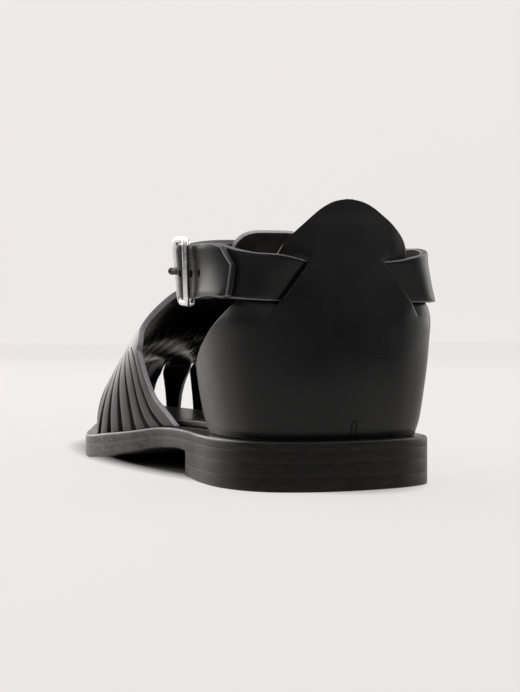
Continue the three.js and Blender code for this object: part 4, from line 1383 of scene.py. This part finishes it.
for i in range(SWEEP_STEPS + 1):
    angle = 0.5 * math.pi * i / SWEEP_STEPS
    profile.append((SWEEP_BACK + SWEEP_RADIUS * math.sin(angle), SWEEP_RADIUS * (1 - math.cos(angle))))
profile.append((SWEEP_BACK + SWEEP_RADIUS, SWEEP_TOP))
sweep_mesh = bpy.data.meshes.new("paper_sweep")
sweep_points = [(x, y, z - FLOOR_DROP) for y, z in profile for x in (SWEEP_LEFT, SWEEP_RIGHT)]
sweep_faces = [(2 * i, 2 * i + 1, 2 * i + 3, 2 * i + 2) for i in range(len(profile) - 1)]
sweep_mesh.from_pydata(sweep_points, [], sweep_faces)
sweep_mesh.materials.append(paper)
sweep_mesh.polygons.foreach_set("use_smooth", [True] * len(sweep_mesh.polygons))
sweep = bpy.data.objects.new("paper_sweep", sweep_mesh)
bpy.context.scene.collection.objects.link(sweep)


LAMP_WHITE = (1.0, 0.985, 0.975)


def soft_box(name, place, target, size, power):
    lamp = bpy.data.lights.new(name, "AREA")
    lamp.shape = "RECTANGLE"
    lamp.size, lamp.size_y = size
    lamp.energy = power
    lamp.color = LAMP_WHITE
    holder = bpy.data.objects.new(name, lamp)
    holder.location = place
    holder.rotation_euler = (Vector(target) - Vector(place)).to_track_quat("-Z", "Y").to_euler()
    bpy.context.scene.collection.objects.link(holder)


soft_box("overhead_light", place=(0.0, 0.5, 2.2), target=(0.0, 0.3, 0.0), size=(3.0, 3.0), power=40.0)
soft_box("rear_left_light", place=(-0.52, 1.3, 0.6), target=(0.0, 0.05, 0.2), size=(1.15, 0.9), power=13.0)
soft_box("right_light", place=(1.25, 0.4, 0.5), target=(0.0, 0.0, 0.1), size=(0.9, 1.0), power=6.5)
soft_box("backdrop_light", place=(0.0, 1.0, 2.6), target=(0.0, 3.4, 0.8), size=(3.0, 1.0), power=22.0)

# The room is dark round the camera and paler towards its ceiling.
ROOM_DARK = (0.07, 0.069, 0.068, 1)
ROOM_CEILING = (0.6, 0.592, 0.585, 1)
CEILING_FROM = 0.05
CEILING_TO = 0.5
room = bpy.data.worlds.new("studio_room")
room.use_nodes = True
wires = Wiring(room.node_tree)
way = wires.node("ShaderNodeTexCoord").outputs["Generated"]
upward = wires.node("ShaderNodeSeparateXYZ", Vector=way).outputs["Z"]
room_light = wires.blend(wires.ramp(upward, 0, 1, (CEILING_FROM, CEILING_TO)), ROOM_DARK, ROOM_CEILING)
wires.link(room_light, room.node_tree.nodes["Background"].inputs["Color"])
bpy.context.scene.world = room
bpy.context.scene.view_settings.view_transform = "Standard"

# Camera.
# Fitted to the photograph: low, behind the heel on the lateral side, looking level towards the toe.
IMAGE_HEIGHT = 692
CAMERA_TURN = 18.9
CAMERA_PLACE = (-0.2044, -0.5473, 0.0506)
FOCAL_PIXELS = 1906.9
HORIZON_PIXEL = 317.0
SENSOR = 36.0
camera_data = bpy.data.cameras.new("camera")
camera_data.sensor_fit = "AUTO"
camera_data.sensor_width = SENSOR
camera_data.lens = FOCAL_PIXELS * SENSOR / IMAGE_HEIGHT
camera_data.shift_y = (HORIZON_PIXEL - IMAGE_HEIGHT / 2) / IMAGE_HEIGHT
camera = bpy.data.objects.new("camera", camera_data)
camera.location = CAMERA_PLACE
camera.rotation_euler = (math.pi / 2, 0, -math.radians(CAMERA_TURN))
bpy.context.scene.collection.objects.link(camera)
bpy.context.scene.camera = camera
